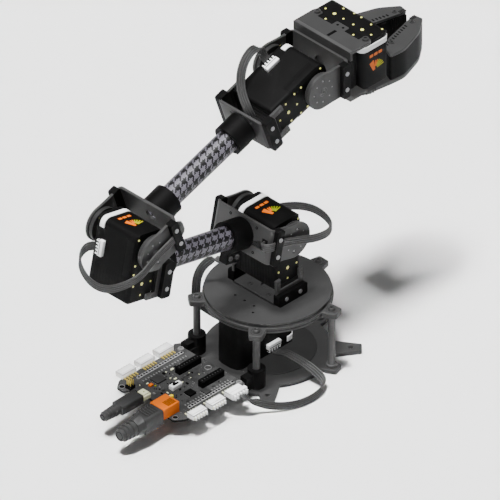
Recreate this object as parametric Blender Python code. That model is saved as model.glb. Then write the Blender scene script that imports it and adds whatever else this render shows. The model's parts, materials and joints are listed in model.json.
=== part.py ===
"""Desktop robot arm: a slewing base, two carbon tube links, five servos, a gripper and its controller board.

Run it with blender --background --python part.py, or from Blender's text editor.
Dimensions are written in millimetres and become metres as each mesh is made.
Frame: +Z up, +X is the way the gripper points, and the origin is under the middle of the base plate.
"""
import math

import bmesh
import bpy
from mathutils import Matrix, Vector

MM = 0.001
GAP = 0.3                     # clearance between pieces that touch
SHEET = 2.0                   # thickness of the folded aluminium brackets

# ---- driving dimensions of the kit -------------------------------------------------------------
SERVO_WIDTH = 26.0            # local X
SERVO_DEPTH = 38.0            # local Y, along the output shaft
SERVO_HEAD = 13.0             # shaft to the label end, along local Z
SERVO_TAIL = 39.5             # shaft to the other end
HUB_PITCH = 26.5              # shaft to the blind hub in the tail
BASE_SERVO_TAIL_RADIUS = 9.0  # the base servo's tail is rounder than the others'
BRACKET_REACH = 25.4          # shaft or hub axis to the outer face of a bracket's web
BRACKET_HALF = 13.0           # half of a bracket's width
YOKE_SPAN = 54.0              # over the outer faces of a yoke's two plates
CLAMP_LENGTH = 16.5
TUBE_SHOWN = 58.7             # tube between its two clamps
TUBE_RADIUS = 8.2
TUBE_BORE = 7.0
LINK_LENGTH = 2 * (BRACKET_REACH + CLAMP_LENGTH) + TUBE_SHOWN

SHOULDER_HEIGHT = 104.9
UPPER_ARM_LEAN = -78.0        # from +Z towards +X, in degrees
FOREARM_LEAN = 71.2
HAND_LEAN = 90.0

# ---- slewing base ------------------------------------------------------------------------------
BASE_RADIUS = 44.5
BASE_THICKNESS = 3.0
MAT_RADIUS = 33.4
MAT_TOP = 3.9
LEG_ANGLES = (45, 135, 225, 315)
LEG_TIP = 63.7
LEG_HOLE_AT = 56.0
LEG_HOLE_RADIUS = 1.8
POST_ANGLES = (0, 72, 144, 216, 288)
POST_AT = 48.5
POST_RADIUS = 2.6
TAB_TIP = 54.2
TOP_PLATE_LOW = 45.6
TOP_PLATE_HIGH = 49.6
TURNTABLE_RADIUS = 43.5
TURNTABLE_HIGH = 53.0
HORN_WINDOW = 13.2

# ---- controller board --------------------------------------------------------------------------
BOARD_LOW = 12.9
BOARD_HIGH = 14.5
BOARD_FRONT = -52.0
BOARD_BACK = -117.0
BOARD_RECESS = -110.0
BOARD_HALF = 32.0
BOARD_HOLE = (-113.9, 25.5)
PORT_PLACES = (-66.0, -83.7, -101.4)
PORT_LENGTH = 13.6
PORT_INNER = 28.4
PORT_OUTER = 37.4
PORT_HIGH = 19.8
HEADER_AT = 24.3
SWITCH_AT = (-89.0, -1.0)

# ---- gripper -----------------------------------------------------------------------------------
JAW_PIVOT_REACH = 51.0        # wrist axis to the plane of the two jaw pivots
JAW_PITCH = HUB_PITCH         # between the two pivots: the servo's own shaft and tail hub
JAW_TEETH = 26                # a full wheel of the jaws' gear
JAW_PLATE_TOP = 24.9          # below the wrist axis
JAW_PLATE_LOW = 27.9
GRIP_TOP = 3.4
FRAME_HALF = 27.3

CABLE_RADIUS = 1.3


# ---- making solids -----------------------------------------------------------------------------
def clear_scene():
    """Remove every object that the file opened with."""
    for item in list(bpy.data.objects):
        bpy.data.objects.remove(item)


def link(mesh):
    """Put a mesh in the robot's collection as an object."""
    item = bpy.data.objects.new("piece", mesh)
    ROBOT.objects.link(item)
    return item


def from_bmesh(form):
    """Turn a bmesh into an object and free it."""
    mesh = bpy.data.meshes.new("piece")
    form.to_mesh(mesh)
    form.free()
    return link(mesh)


def block(low, high):
    """A box between two corners."""
    form = bmesh.new()
    bmesh.ops.create_cube(form, size=1.0)
    size = [(b - a) * MM for a, b in zip(low, high)]
    middle = [(b + a) / 2 * MM for a, b in zip(low, high)]
    bmesh.ops.scale(form, vec=size, verts=form.verts)
    bmesh.ops.translate(form, vec=middle, verts=form.verts)
    return from_bmesh(form)


def bar(start, end, radius, tip_radius=None, sides=32):
    """A round bar or cone between two points."""
    start, end = Vector(start) * MM, Vector(end) * MM
    tip_radius = radius if tip_radius is None else tip_radius
    turn = (end - start).to_track_quat("Z", "Y").to_matrix().to_4x4()
    form = bmesh.new()
    bmesh.ops.create_cone(form, cap_ends=True, segments=sides, radius1=radius * MM,
                          radius2=tip_radius * MM, depth=(end - start).length,
                          matrix=Matrix.Translation((start + end) / 2) @ turn)
    return from_bmesh(form)


def solid_from_curve(curve):
    """The closed mesh of a curve, with its caps welded on."""
    guide = bpy.data.objects.new("guide", curve)
    ROBOT.objects.link(guide)
    bpy.context.view_layer.update()
    mesh = bpy.data.meshes.new_from_object(guide.evaluated_get(bpy.context.evaluated_depsgraph_get()))
    bpy.data.objects.remove(guide)
    form = bmesh.new()
    form.from_mesh(mesh)
    bmesh.ops.remove_doubles(form, verts=form.verts, dist=0.000001)
    bmesh.ops.recalc_face_normals(form, faces=form.faces)
    return from_bmesh(form)


# An outline's own two directions and its extrusion, as columns, for a sheet square to each axis.
SHEET_TURN = {
    "X": Matrix(((0, 0, 1), (1, 0, 0), (0, 1, 0))).to_4x4(),      # outline in Y, Z
    "Y": Matrix(((1, 0, 0), (0, 0, -1), (0, 1, 0))).to_4x4(),     # outline in X, Z
    "Z": Matrix.Identity(4),                                      # outline in X, Y
}


def sheet(outline, low, high, axis="Z", holes=()):
    """A flat outline with holes, from low to high along an axis."""
    curve = bpy.data.curves.new("outline", "CURVE")
    curve.dimensions = "2D"
    curve.fill_mode = "BOTH"
    curve.extrude = (high - low) / 2 * MM
    for loop in (outline, *holes):
        spline = curve.splines.new("POLY")
        spline.points.add(len(loop) - 1)
        for point, (a, b) in zip(spline.points, loop):
            point.co = (a * MM, b * MM, 0, 1)
        spline.use_cyclic_u = True
    item = solid_from_curve(curve)
    shift = Vector([(low + high) / 2 * MM if axis == name else 0 for name in "XYZ"])
    item.data.transform(Matrix.Translation(shift) @ SHEET_TURN[axis])
    return item


def circle(centre, radius, sides=24):
    """The points of a circle."""
    steps = [math.tau * step / sides for step in range(sides)]
    return [(centre[0] + radius * math.cos(a), centre[1] + radius * math.sin(a)) for a in steps]


def rounded(corners, radii, steps=3):
    """An outline through some corners, each turned on a radius of its own."""
    if not isinstance(radii, (list, tuple)):
        radii = [radii] * len(corners)
    points = []
    for index, radius in enumerate(radii):
        here = Vector(corners[index])
        if radius <= 0:
            points.append(tuple(here))
            continue
        back = (Vector(corners[index - 1]) - here).normalized()
        on = (Vector(corners[(index + 1) % len(corners)]) - here).normalized()
        half = back.angle(on) / 2
        centre = here + (back + on).normalized() * radius / math.sin(half)
        first = here + back * radius / math.tan(half) - centre
        last = here + on * radius / math.tan(half) - centre
        begin = math.atan2(first.y, first.x)
        sweep = (math.atan2(last.y, last.x) - begin + math.pi) % math.tau - math.pi
        for step in range(steps + 1):
            angle = begin + sweep * step / steps
            points.append((centre.x + radius * math.cos(angle), centre.y + radius * math.sin(angle)))
    return points


def box_outline(low, high, radius):
    """A rounded rectangle."""
    return rounded([(low[0], low[1]), (high[0], low[1]), (high[0], high[1]), (low[0], high[1])], radius)


def combine(target, tools, operation):
    """Join, cut or intersect a solid with others, which are used up."""
    for tool in tools:
        change = target.modifiers.new(operation, "BOOLEAN")
        change.operation = operation
        change.solver = "EXACT"
        change.object = tool
        bpy.context.view_layer.update()
        seen = target.evaluated_get(bpy.context.evaluated_depsgraph_get())
        mesh = bpy.data.meshes.new_from_object(seen)
        target.modifiers.clear()
        target.data = mesh
        bpy.data.objects.remove(tool)
    merge_flats(target.data)
    return target


def merge_flats(mesh):
    """Dissolve the leftover edges inside flat faces."""
    form = bmesh.new()
    form.from_mesh(mesh)
    bmesh.ops.dissolve_limit(form, angle_limit=math.radians(0.2), verts=form.verts, edges=form.edges)
    form.to_mesh(mesh)
    form.free()


def join(target, *tools):
    return combine(target, tools, "UNION")


def cut(target, *tools):
    return combine(target, tools, "DIFFERENCE")


def common(target, *tools):
    return combine(target, tools, "INTERSECT")


def at_angle(item, degrees):
    """Turn a solid about the robot's vertical axis."""
    item.data.transform(Matrix.Rotation(math.radians(degrees), 4, "Z"))
    return item


# ---- naming and placing ------------------------------------------------------------------------
def make_material(name, colour, roughness, metallic=0.0):
    material = bpy.data.materials.new(name)
    material.use_nodes = True
    shader = material.node_tree.nodes["Principled BSDF"]
    shader.inputs["Base Color"].default_value = (*colour, 1.0)
    shader.inputs["Roughness"].default_value = roughness
    shader.inputs["Metallic"].default_value = metallic
    return material


def axis_frame(name, parent, place=(0, 0, 0), lean=0.0):
    """An empty on a joint's axis, leaning from its parent's +Z towards its +X."""
    frame = bpy.data.objects.new(name, None)
    ROBOT.objects.link(frame)
    frame.parent = parent
    frame.location = Vector(place) * MM
    frame.rotation_euler = (0, math.radians(lean), 0)
    return frame


def finish(item, name, material, frame, place=(0, 0, 0), turn=Matrix.Identity(4)):
    """Name a solid, give it its material and stand it in its joint's frame."""
    item.name = name
    item.data.name = name
    item.data.materials.clear()
    item.data.materials.append(material)
    item.data.shade_smooth()
    item.data.set_sharp_from_angle(angle=math.radians(35))
    item.parent = frame
    item.matrix_basis = Matrix.Translation(Vector(place) * MM) @ turn
    return item


# ---- servo module ------------------------------------------------------------------------------
def servo_profile(tail_radius):
    """The case as seen along its shaft: soft at the label end, turned on a given radius at the tail."""
    half = SERVO_WIDTH / 2
    corners = [(-half, -SERVO_TAIL), (half, -SERVO_TAIL), (half, SERVO_HEAD), (-half, SERVO_HEAD)]
    return rounded(corners, [tail_radius, tail_radius, 4.5, 4.5])


def label_band(outer, inner, start, end, low):
    """The light strip's path over the label end, proud by outer and sunk by inner."""
    wide, narrow = SERVO_WIDTH / 2 + outer, SERVO_WIDTH / 2 - inner
    tall, short = SERVO_HEAD + outer, SERVO_HEAD - inner
    corners = [(-wide, low), (-wide, tall), (wide, tall), (wide, low),
               (narrow, low), (narrow, short), (-narrow, short), (-narrow, low)]
    soft = 4.5
    return sheet(rounded(corners, [0, soft + outer, soft + outer, 0, 0, soft - inner, soft - inner, 0]),
                 start, end, "Y")


def servo_case(tail_radius=2.5):
    """The moulded case with its two side sockets and the groove for the light strip."""
    half, deep = SERVO_WIDTH / 2, SERVO_DEPTH / 2
    case = sheet(servo_profile(tail_radius), -deep, deep, "Y")
    case = common(case, sheet(box_outline((-half, -deep), (half, deep), 3.5),
                              -SERVO_TAIL - 1, SERVO_HEAD + 1, "Z"))
    case = cut(case, label_band(1.0, 1.3, 10.6, 15.4, 5.4))
    socket_reach = 2.4
    sockets = block((-half - socket_reach, 7.8, -14.2), (half + socket_reach, 12.7, -2.8))
    return join(case, sockets)


def servo_lens():
    """The white light strip that lies in the case's groove."""
    return label_band(0.35, 0.95, 11.0, 15.0, 5.8)


def horn(side):
    """A horn or idler disc on one end of a shaft: side is -1 for the driven end, +1 for the idle one."""
    face = side * (SERVO_DEPTH / 2 + GAP)
    step = side * (SERVO_DEPTH / 2 + 2.7)
    rim = side * (YOKE_SPAN / 2 - SHEET - GAP)
    disc = join(bar((0, step, 0), (0, rim, 0), 12.5, sides=28),
                bar((0, face, 0), (0, step + side * 0.4, 0), 8.0, sides=20))
    return cut(disc, bar((0, face - side, 0), (0, rim + side, 0), 1.6, sides=8))


# ---- folded brackets ---------------------------------------------------------------------------
def yoke():
    """A U bracket whose two round-ended plates hold the horn discs, web towards +Z."""
    outer = YOKE_SPAN / 2
    inner = outer - SHEET
    back = BRACKET_REACH - SHEET
    corners = [(-outer, -14), (-outer, BRACKET_REACH), (outer, BRACKET_REACH), (outer, -14),
               (inner, -14), (inner, back), (-inner, back), (-inner, -14)]
    fold = sheet(rounded(corners, [0, 3.2, 3.2, 0, 0, 1.2, 1.2, 0]), -14, 14, "X")
    cheek = [(BRACKET_HALF, BRACKET_REACH + 1), (-BRACKET_HALF, BRACKET_REACH + 1), (-BRACKET_HALF, 9)]
    low_arc = [(13.5 * math.cos(a), 13.5 * math.sin(a))
               for a in [math.pi + math.pi * step / 18 for step in range(19)]]
    fold = common(fold, sheet(cheek + low_arc + [(BRACKET_HALF, 9)], -outer - 1, outer + 1, "Y"))
    slot = block((-3.8, -23.6, back - 1), (3.8, -19.2, BRACKET_REACH + 1))
    wire_hole = bar((0, 0, back - 1), (0, 0, BRACKET_REACH + 1), 4.5, sides=16)
    cheek_holes = [bar((8.5 * a, -outer - 1, 8.5 * b), (8.5 * a, outer + 1, 8.5 * b), 1.2, sides=8)
                   for a, b in ((1, 0), (-1, 0), (0, -1))]
    centre_hole = bar((0, -outer - 1, 0), (0, outer + 1, 0), 2.6, sides=12)
    return cut(fold, slot, wire_hole, centre_hole, *cheek_holes)


def servo_cradle():
    """A C bracket that holds a servo's tail hub, web towards -Z, with two prongs on each side."""
    outer = SERVO_DEPTH / 2 + GAP + SHEET
    inner = SERVO_DEPTH / 2 + GAP
    back = -BRACKET_REACH + SHEET
    prong_top = -4.5
    corners = [(-outer, prong_top), (-outer, -BRACKET_REACH), (outer, -BRACKET_REACH), (outer, prong_top),
               (inner, prong_top), (inner, back), (-inner, back), (-inner, prong_top)]
    fold = sheet(rounded(corners, [0, 3.0, 3.0, 0, 0, 1.0, 1.0, 0]), -BRACKET_HALF, BRACKET_HALF, "X")
    notch = block((-8.7, -outer - 1, -13.0), (8.7, outer + 1, 0))
    wire_hole = bar((0, 0, -BRACKET_REACH - 1), (0, 0, back + 1), 4.5, sides=16)
    web_holes = [bar((8 * a, 9 * b, -BRACKET_REACH - 1), (8 * a, 9 * b, back + 1), 1.5, sides=8)
                 for a in (-1, 1) for b in (-1, 1)]
    return cut(fold, notch, wire_hole, *web_holes)


def tube_clamp(low, lug_side, lug_reach):
    """A split collar round the tube, with its pinch lug to one side along X."""
    high = low + CLAMP_LENGTH - GAP
    lug = sorted((lug_side * 6.0, lug_side * lug_reach))
    collar = join(bar((0, 0, low), (0, 0, high), 11.4),
                  block((lug[0], -3.6, low + 2), (lug[1], 3.6, high - 2)))
    return cut(collar, bar((0, 0, low - 1), (0, 0, high + 1), TUBE_RADIUS + GAP))


def tube():
    """The carbon tube, pushed up to the two webs."""
    low, high = BRACKET_REACH + 1, LINK_LENGTH - BRACKET_REACH - 1
    return sheet(circle((0, 0), TUBE_RADIUS, 32), low, high, "Z", [circle((0, 0), TUBE_BORE, 24)])


# ---- slewing base ------------------------------------------------------------------------------
def post_tab(low, high):
    """The rounded ear that holds a post, on the +X side."""
    corners = [(40.0, -6.2), (48.0, -5.8), (TAB_TIP, -4.4), (TAB_TIP, 4.4), (48.0, 5.8), (40.0, 6.2)]
    return sheet(rounded(corners, [0, 3, 1.6, 1.6, 3, 0]), low, high)


def base_plate():
    """The round foot plate with five post ears and four tapered legs."""
    plate = bar((0, 0, 0), (0, 0, BASE_THICKNESS), BASE_RADIUS, sides=56)
    leg = [(38, -9.5), (46, -7.6), (LEG_TIP, -4.1), (LEG_TIP, 4.1), (46, 7.6), (38, 9.5)]
    legs = [at_angle(sheet(rounded(leg, [0, 3, 1, 1, 3, 0]), 0, BASE_THICKNESS, "Z",
                           [circle((LEG_HOLE_AT, 0), LEG_HOLE_RADIUS, 16)]), angle) for angle in LEG_ANGLES]
    return join(plate, *[at_angle(post_tab(0, BASE_THICKNESS), angle) for angle in POST_ANGLES], *legs)


def post():
    """A stand-off between the two plates, on the +X side, with a collar at its foot."""
    low, high = BASE_THICKNESS + GAP, TOP_PLATE_LOW - GAP
    rod = bar((POST_AT, 0, low), (POST_AT, 0, high), POST_RADIUS, sides=16)
    return join(rod, bar((POST_AT, 0, low), (POST_AT, 0, low + 2.2), 3.9, sides=16))


def post_bolt():
    """The socket screw in each post's ear."""
    low, high = TOP_PLATE_HIGH + GAP, TOP_PLATE_HIGH + 2.2
    head = bar((POST_AT, 0, low), (POST_AT, 0, high), 2.8, 2.3, sides=16)
    return cut(head, bar((POST_AT, 0, high - 1.4), (POST_AT, 0, high + 1), 1.25, sides=6))


def top_plate():
    """The fixed ring plate that carries the base servo and the turntable."""
    ring = sheet(circle((0, 0), BASE_RADIUS, 56), TOP_PLATE_LOW, TOP_PLATE_HIGH, "Z",
                 [circle((0, 0), HORN_WINDOW, 32)])
    return join(ring, *[at_angle(post_tab(TOP_PLATE_LOW, TOP_PLATE_HIGH), angle) for angle in POST_ANGLES])


def turntable():
    """The turning disc, drilled with the cradle's screw pattern."""
    low = TOP_PLATE_HIGH + GAP
    holes = [circle(place, 1.0, 10) for place in
             ((-22, -9), (-22, 0), (-22, 9), (-28, -14), (22, -9), (22, 9), (28, 0))]
    return sheet(circle((0, 0), TURNTABLE_RADIUS, 56), low, TURNTABLE_HIGH - GAP, "Z", holes)


def base_horn():
    """The base servo's output disc, through the ring plate's window."""
    low = TOP_PLATE_LOW
    return join(bar((0, 0, low), (0, 0, TOP_PLATE_HIGH), 12.5, sides=32),
                bar((0, 0, low), (0, 0, low + 1), 8.0, sides=32))


# ---- controller board --------------------------------------------------------------------------
def board_outline():
    """A rectangle with a lug at each rear corner and the rear edge set back between them."""
    corners = [(BOARD_FRONT, -BOARD_HALF + 1), (BOARD_FRONT, BOARD_HALF - 1), (BOARD_BACK + 7, BOARD_HALF),
               (BOARD_BACK, BOARD_HALF - 5), (BOARD_BACK, 21), (BOARD_RECESS, 17),
               (BOARD_RECESS, -17), (BOARD_BACK, -21), (BOARD_BACK, -BOARD_HALF + 5),
               (BOARD_BACK + 7, -BOARD_HALF)]
    return rounded(corners, [2, 2, 3, 3, 2, 2, 2, 2, 3, 3])


def controller_board():
    """The circuit board with its soldered ports, headers, sockets and chips."""
    holes = [circle((BOARD_HOLE[0], side * BOARD_HOLE[1]), 1.6, 16) for side in (-1, 1)]
    board = sheet(board_outline(), BOARD_LOW, BOARD_HIGH, "Z", holes)
    root = BOARD_HIGH - 0.4
    ports = [block((x - PORT_LENGTH / 2, min(side * PORT_INNER, side * PORT_OUTER), root),
                   (x + PORT_LENGTH / 2, max(side * PORT_INNER, side * PORT_OUTER), PORT_HIGH))
             for x in PORT_PLACES for side in (-1, 1)]
    headers = [block((-100, side * HEADER_AT - 1.25, root), (-57, side * HEADER_AT + 1.25, 17))
               for side in (-1, 1)]
    sockets = [block((-77, y - 2.3, root), (-56, y + 2.3, 22)) for y in (-12.5, 9.5)]
    chips = [block((x - a, y - b, root), (x + a, y + b, 16)) for x, y, a, b in
             ((-87, -13, 3, 3), (-78, -19, 2.5, 3), (-91, 14, 4.2, 4.2))]
    pins = block((-113.5, 18, root), (-108.5, 23, 20.5))
    usb_port = block((-116, 2.6, root), (-108.8, 10.4, 18))
    switch_x, switch_y = SWITCH_AT
    switch = block((switch_x - 4.4, switch_y - 1.9, root), (switch_x + 4.4, switch_y + 1.9, 17.5))
    travel = block((switch_x - 2.6, switch_y - 1.0, 16.2), (switch_x + 2.6, switch_y + 1.0, 18))
    return cut(join(board, *ports, *headers, *sockets, *chips, pins, usb_port, switch), travel)


def switch_slider():
    """The knob of the board's power switch."""
    x, y = SWITCH_AT
    return block((x - 2.2, y - 0.7, 16.5), (x - 0.4, y + 0.7, 19.3))


def power_jack():
    """The orange power inlet that overhangs the board's rear edge."""
    return block((-122, -23, BOARD_HIGH + GAP), (-107.2, -9.4, 23.2))


def power_plug():
    """The large lead plug, without its lead: a square shell, a waist and a ribbed sleeve."""
    y, z = -16.3, 16.6
    shell = sheet(box_outline((y - 6.6, z - 6.2), (y + 6.6, z + 6.2), 2), -139, -122.3, "X")
    waist = bar((-138.5, y, z), (-145, y, z), 7.6, 6.2, sides=8)
    ribs = [bar((x, y, z), (x - 2.2, y, z), 6.0 - 0.25 * index, sides=14)
            for index, x in enumerate((-146.5, -149.9, -153.3))]
    core = bar((-144, y, z), (-158, y, z), 5.2, 4.2, sides=14)
    return join(shell, waist, core, *ribs)


def usb_plug():
    """The small lead plug, without its lead."""
    y, z = 7.4, 16.3
    shell = sheet(box_outline((y - 5.2, z - 3.6), (y + 5.2, z + 3.6), 1.2), -136, -116.3, "X")
    ribs = [bar((x, y, z), (x - 1.8, y, z), 4.3 - 0.2 * index, sides=12)
            for index, x in enumerate((-138, -141, -144, -147))]
    core = bar((-135.5, y, z), (-150.5, y, z), 3.9, 2.9, sides=12)
    return join(shell, core, *ribs)


def board_clamp(side):
    """The black block that grips a rear post and holds a front corner of the board."""
    angle = math.radians(144 * side)
    x, y = POST_AT * math.cos(angle), POST_AT * math.sin(angle)
    low = BASE_THICKNESS + 2.2 + 2 * GAP
    grip = bar((x, y, low), (x, y, 20), 6.2, sides=24)
    near, far = sorted((side * 24.0, side * 31.5))
    arm = block((-58, near, low + 1.5), (-40, far, BOARD_LOW - GAP))
    near, far = sorted((side * 25.4, side * 31.5))
    lip = block((-51.5, near, low + 2), (-40, far, 17.5))
    return cut(join(grip, arm, lip), bar((x, y, 0), (x, y, 30), POST_RADIUS + GAP, sides=24))


# ---- gripper -----------------------------------------------------------------------------------
def frame_plate(low, high, grow, tongue):
    """The flat of the gripper frame that lies on one servo face, notched round both hubs."""
    back, edge, lobe = BRACKET_REACH + GAP, 41.2 + grow, (47.2 if tongue else 42.4) + grow
    half, inner = FRAME_HALF + grow, 19.6 - grow
    corners = [(half, back), (half, lobe), (inner, lobe), (inner, edge)]
    radii = [0, 3, 2, 0] if tongue else [0, 1, 0.5, 0]
    if tongue:
        corners += [(6 + grow, edge), (6 + grow, 46.4 + grow)]
        radii += [0, 1.2]
    corners += [(-y, z) for y, z in reversed(corners)]
    radii += list(reversed(radii))
    return sheet(rounded(corners, radii), low, high, "X")


def gripper_frame():
    """The folded frame round the gripper servo: a back plate and a notched plate over and under."""
    deep = SERVO_DEPTH / 2
    back = sheet(box_outline((-deep, -FRAME_HALF), (deep + GAP + SHEET, FRAME_HALF), 2.5),
                 BRACKET_REACH + GAP, BRACKET_REACH + GAP + SHEET, "Z")
    waist = [block((-12, min(side * 21, side * 30), BRACKET_REACH), (17, max(side * 21, side * 30), 30))
             for side in (-1, 1)]
    back = cut(back, *waist)
    over = frame_plate(-deep, -deep + SHEET, 0, True)
    under = frame_plate(deep + GAP, deep + GAP + SHEET, 0, False)
    return join(back, over, under)


def jaw_outline():
    """The curved finger ahead of its pivot, as forward and outward distances."""
    corners = [(14.3, 12.5), (27, 13.8), (48, 6.6), (60.4, -2.8), (59.0, -10.2), (46.2, -6.9), (27.9, -2.6),
               (18.0, 4.0)]
    return rounded(corners, [1.5, 18, 24, 1.8, 1.8, 8, 2, 2])


def gear_sector(shift):
    """Teeth towards the other jaw; shift moves them by a share of one tooth."""
    pitch = math.tau / JAW_TEETH
    root, tip = 12.0, 14.0
    points = [(0, 0)]
    for index in range(-5, 3):
        middle = -math.pi / 2 + (index + shift) * pitch
        for radius, offset in ((root, -0.29), (tip, -0.1), (tip, 0.1), (root, 0.29)):
            angle = middle + offset * pitch
            points.append((radius * math.cos(angle), radius * math.sin(angle)))
    return points


def jaw_plate(side, shift):
    """A finger's lower plate with its hub and gear teeth: side is -1 or +1 along Y."""
    strap = rounded([(0, 10.0), (14.3, 12.3), (27, 13.6), (48, 6.4), (60.2, -2.8), (58.9, -10.0),
                     (46.2, -6.9), (27.9, -2.6), (8, -6)], [0, 6, 18, 24, 1.8, 1.8, 8, 5, 0])
    place = [(side * (JAW_PITCH / 2 + out), JAW_PIVOT_REACH + forward) for forward, out in strap]
    teeth = [(side * (JAW_PITCH / 2 + out), JAW_PIVOT_REACH + forward) for forward, out in gear_sector(shift)]
    pivot = (side * JAW_PITCH / 2, JAW_PIVOT_REACH)
    plate = sheet(circle(pivot, 10.4, 32), JAW_PLATE_TOP, JAW_PLATE_LOW, "X")
    plate = join(plate, sheet(place, JAW_PLATE_TOP, JAW_PLATE_LOW, "X"),
                 sheet(teeth, JAW_PLATE_TOP, JAW_PLATE_LOW, "X"))
    hub = bar((SERVO_DEPTH / 2 + GAP, *pivot), (JAW_PLATE_TOP + 0.5, *pivot), 8.0, sides=32)
    return join(plate, hub)


def jaw_grip(side):
    """The tall curved block that stands on a finger's plate."""
    place = [(side * (JAW_PITCH / 2 + out), JAW_PIVOT_REACH + forward) for forward, out in jaw_outline()]
    return sheet(place, GRIP_TOP, JAW_PLATE_TOP - GAP, "X")


# ---- ribbon cables -----------------------------------------------------------------------------
BOARD_CABLE = [(-8.3, -15.0, 11.8), (-8.1, -18.4, 11.9), (-7.8, -25.0, 14.6), (-7.2, -31.6, 14.6),
               (-5.4, -39.5, 12.8), (-3.8, -46.5, 10.2), (-3.0, -52.0, 7.6), (-3.8, -56.8, 5.2),
               (-7.2, -60.2, 4.0), (-13.5, -62.6, 3.5), (-21.4, -63.6, 3.4), (-30.0, -62.6, 3.4),
               (-37.0, -60.0, 3.6), (-44.0, -56.4, 4.4), (-50.5, -52.2, 6.2), (-57.0, -47.4, 9.4),
               (-61.6, -45.4, 13.0), (-64.8, -43.2, 15.6), (-65.8, -40.8, 16.8), (-66.0, -38.4, 17.0)]
TURRET_CABLE = [(-8.3, 15.0, 11.8), (-8.6, 18.6, 12.0), (-9.6, 25.0, 15.6), (-13.5, 31.5, 19.6),
                (-20.0, 36.6, 25.4), (-26.6, 38.6, 33.0), (-30.2, 38.0, 41.0), (-31.2, 37.2, 49.0),
                (-30.9, 36.6, 57.0), (-28.9, 35.0, 64.6), (-25.2, 32.4, 70.0), (-21.4, 29.2, 72.2),
                (-18.8, 25.4, 71.8), (-17.0, 21.4, 71.4), (-16.0, 18.6, 74.0), (-15.5, 17.6, 80.0),
                (-15.3, 17.5, 87.0), (-15.2, 17.0, 93.0), (-15.2, 15.6, 96.2), (-15.2, 13.8, 96.4)]
SHOULDER_CABLE = [(15.2, 13.8, 96.4), (15.9, 16.8, 96.5), (19.5, 18.4, 96.8), (25.4, 16.6, 97.4),
                  (31.4, 12.0, 98.2), (36.2, 6.0, 98.9), (39.8, -1.0, 99.0), (41.6, -8.0, 98.0),
                  (41.4, -15.0, 96.8), (38.6, -21.6, 96.2), (33.6, -26.2, 97.0), (27.0, -29.4, 98.6),
                  (19.6, -31.2, 100.8), (12.0, -31.6, 103.0), (4.0, -31.0, 105.6), (-4.0, -30.0, 107.9),
                  (-12.0, -28.9, 110.0), (-18.7, -28.6, 111.2), (-24.2, -28.4, 111.6), (-27.8, -26.0, 111.7),
                  (-28.0, -22.9, 111.3), (-24.8, -21.5, 110.4), (-21.5, -21.4, 109.8)]
ELBOW_CABLE = [(-150.8, 13.8, 155.2), (-151.6, 17.0, 154.2), (-154.4, 19.8, 152.2), (-159.4, 19.3, 149.4),
               (-163.8, 15.6, 146.2), (-167.0, 9.0, 143.4), (-169.4, 0.0, 141.7), (-170.3, -10.0, 142.3),
               (-168.8, -19.0, 145.0), (-164.6, -26.2, 149.0), (-158.6, -30.2, 152.0), (-151.4, -31.2, 154.2),
               (-144.6, -30.4, 156.4), (-138.0, -29.2, 158.5), (-131.0, -28.8, 160.9), (-124.5, -28.7, 163.2),
               (-118.0, -28.6, 165.5), (-111.8, -28.4, 167.7), (-107.2, -26.2, 169.5), (-106.6, -22.9, 169.7),
               (-110.0, -21.5, 168.6), (-113.4, -21.4, 167.4)]
WRIST_CABLE = [(13.2, 13.8, 227.2), (12.6, 16.2, 229.2), (11.4, 17.2, 233.6), (8.8, 16.9, 237.6),
               (4.8, 16.8, 239.4), (0.4, 16.8, 238.8), (-5.4, 16.0, 235.4), (-11.0, 14.0, 229.8),
               (-15.4, 10.4, 222.8), (-18.2, 5.4, 216.9), (-19.8, 0.6, 212.6), (-20.0, -2.2, 208.2),
               (-18.6, -3.0, 204.4)]


def smooth_route(points, spacing):
    """A smooth curve through the route's points, read off at an even spacing."""
    knots = [Vector(points[0]) * 2 - Vector(points[1]), *map(Vector, points),
             Vector(points[-1]) * 2 - Vector(points[-2])]
    dense = []
    for before, start, end, after in zip(knots, knots[1:], knots[2:], knots[3:]):
        for step in range(12):
            t = step / 12
            dense.append(0.5 * (2 * start + (end - before) * t
                                + (2 * before - 5 * start + 4 * end - after) * t * t
                                + (3 * start - before - 3 * end + after) * t ** 3))
    dense.append(knots[-2])
    route, run = [dense[0]], 0.0
    for last, here in zip(dense, dense[1:]):
        run += (here - last).length
        if run >= spacing:
            route.append(here)
            run = 0.0
    if (route[-1] - dense[-1]).length < spacing / 2:
        route.pop()
    return route + [dense[-1]]


def ribbon_cable(points):
    """The plain round core of a four-wire ribbon along its route."""
    curve = bpy.data.curves.new("route", "CURVE")
    curve.dimensions = "3D"
    curve.bevel_depth = CABLE_RADIUS * MM
    curve.bevel_resolution = 2
    curve.use_fill_caps = True
    route = smooth_route(points, 5.2)
    spline = curve.splines.new("POLY")
    spline.points.add(len(route) - 1)
    for point, place in zip(spline.points, route):
        point.co = (*(place * MM), 1)
    return solid_from_curve(curve)


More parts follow.
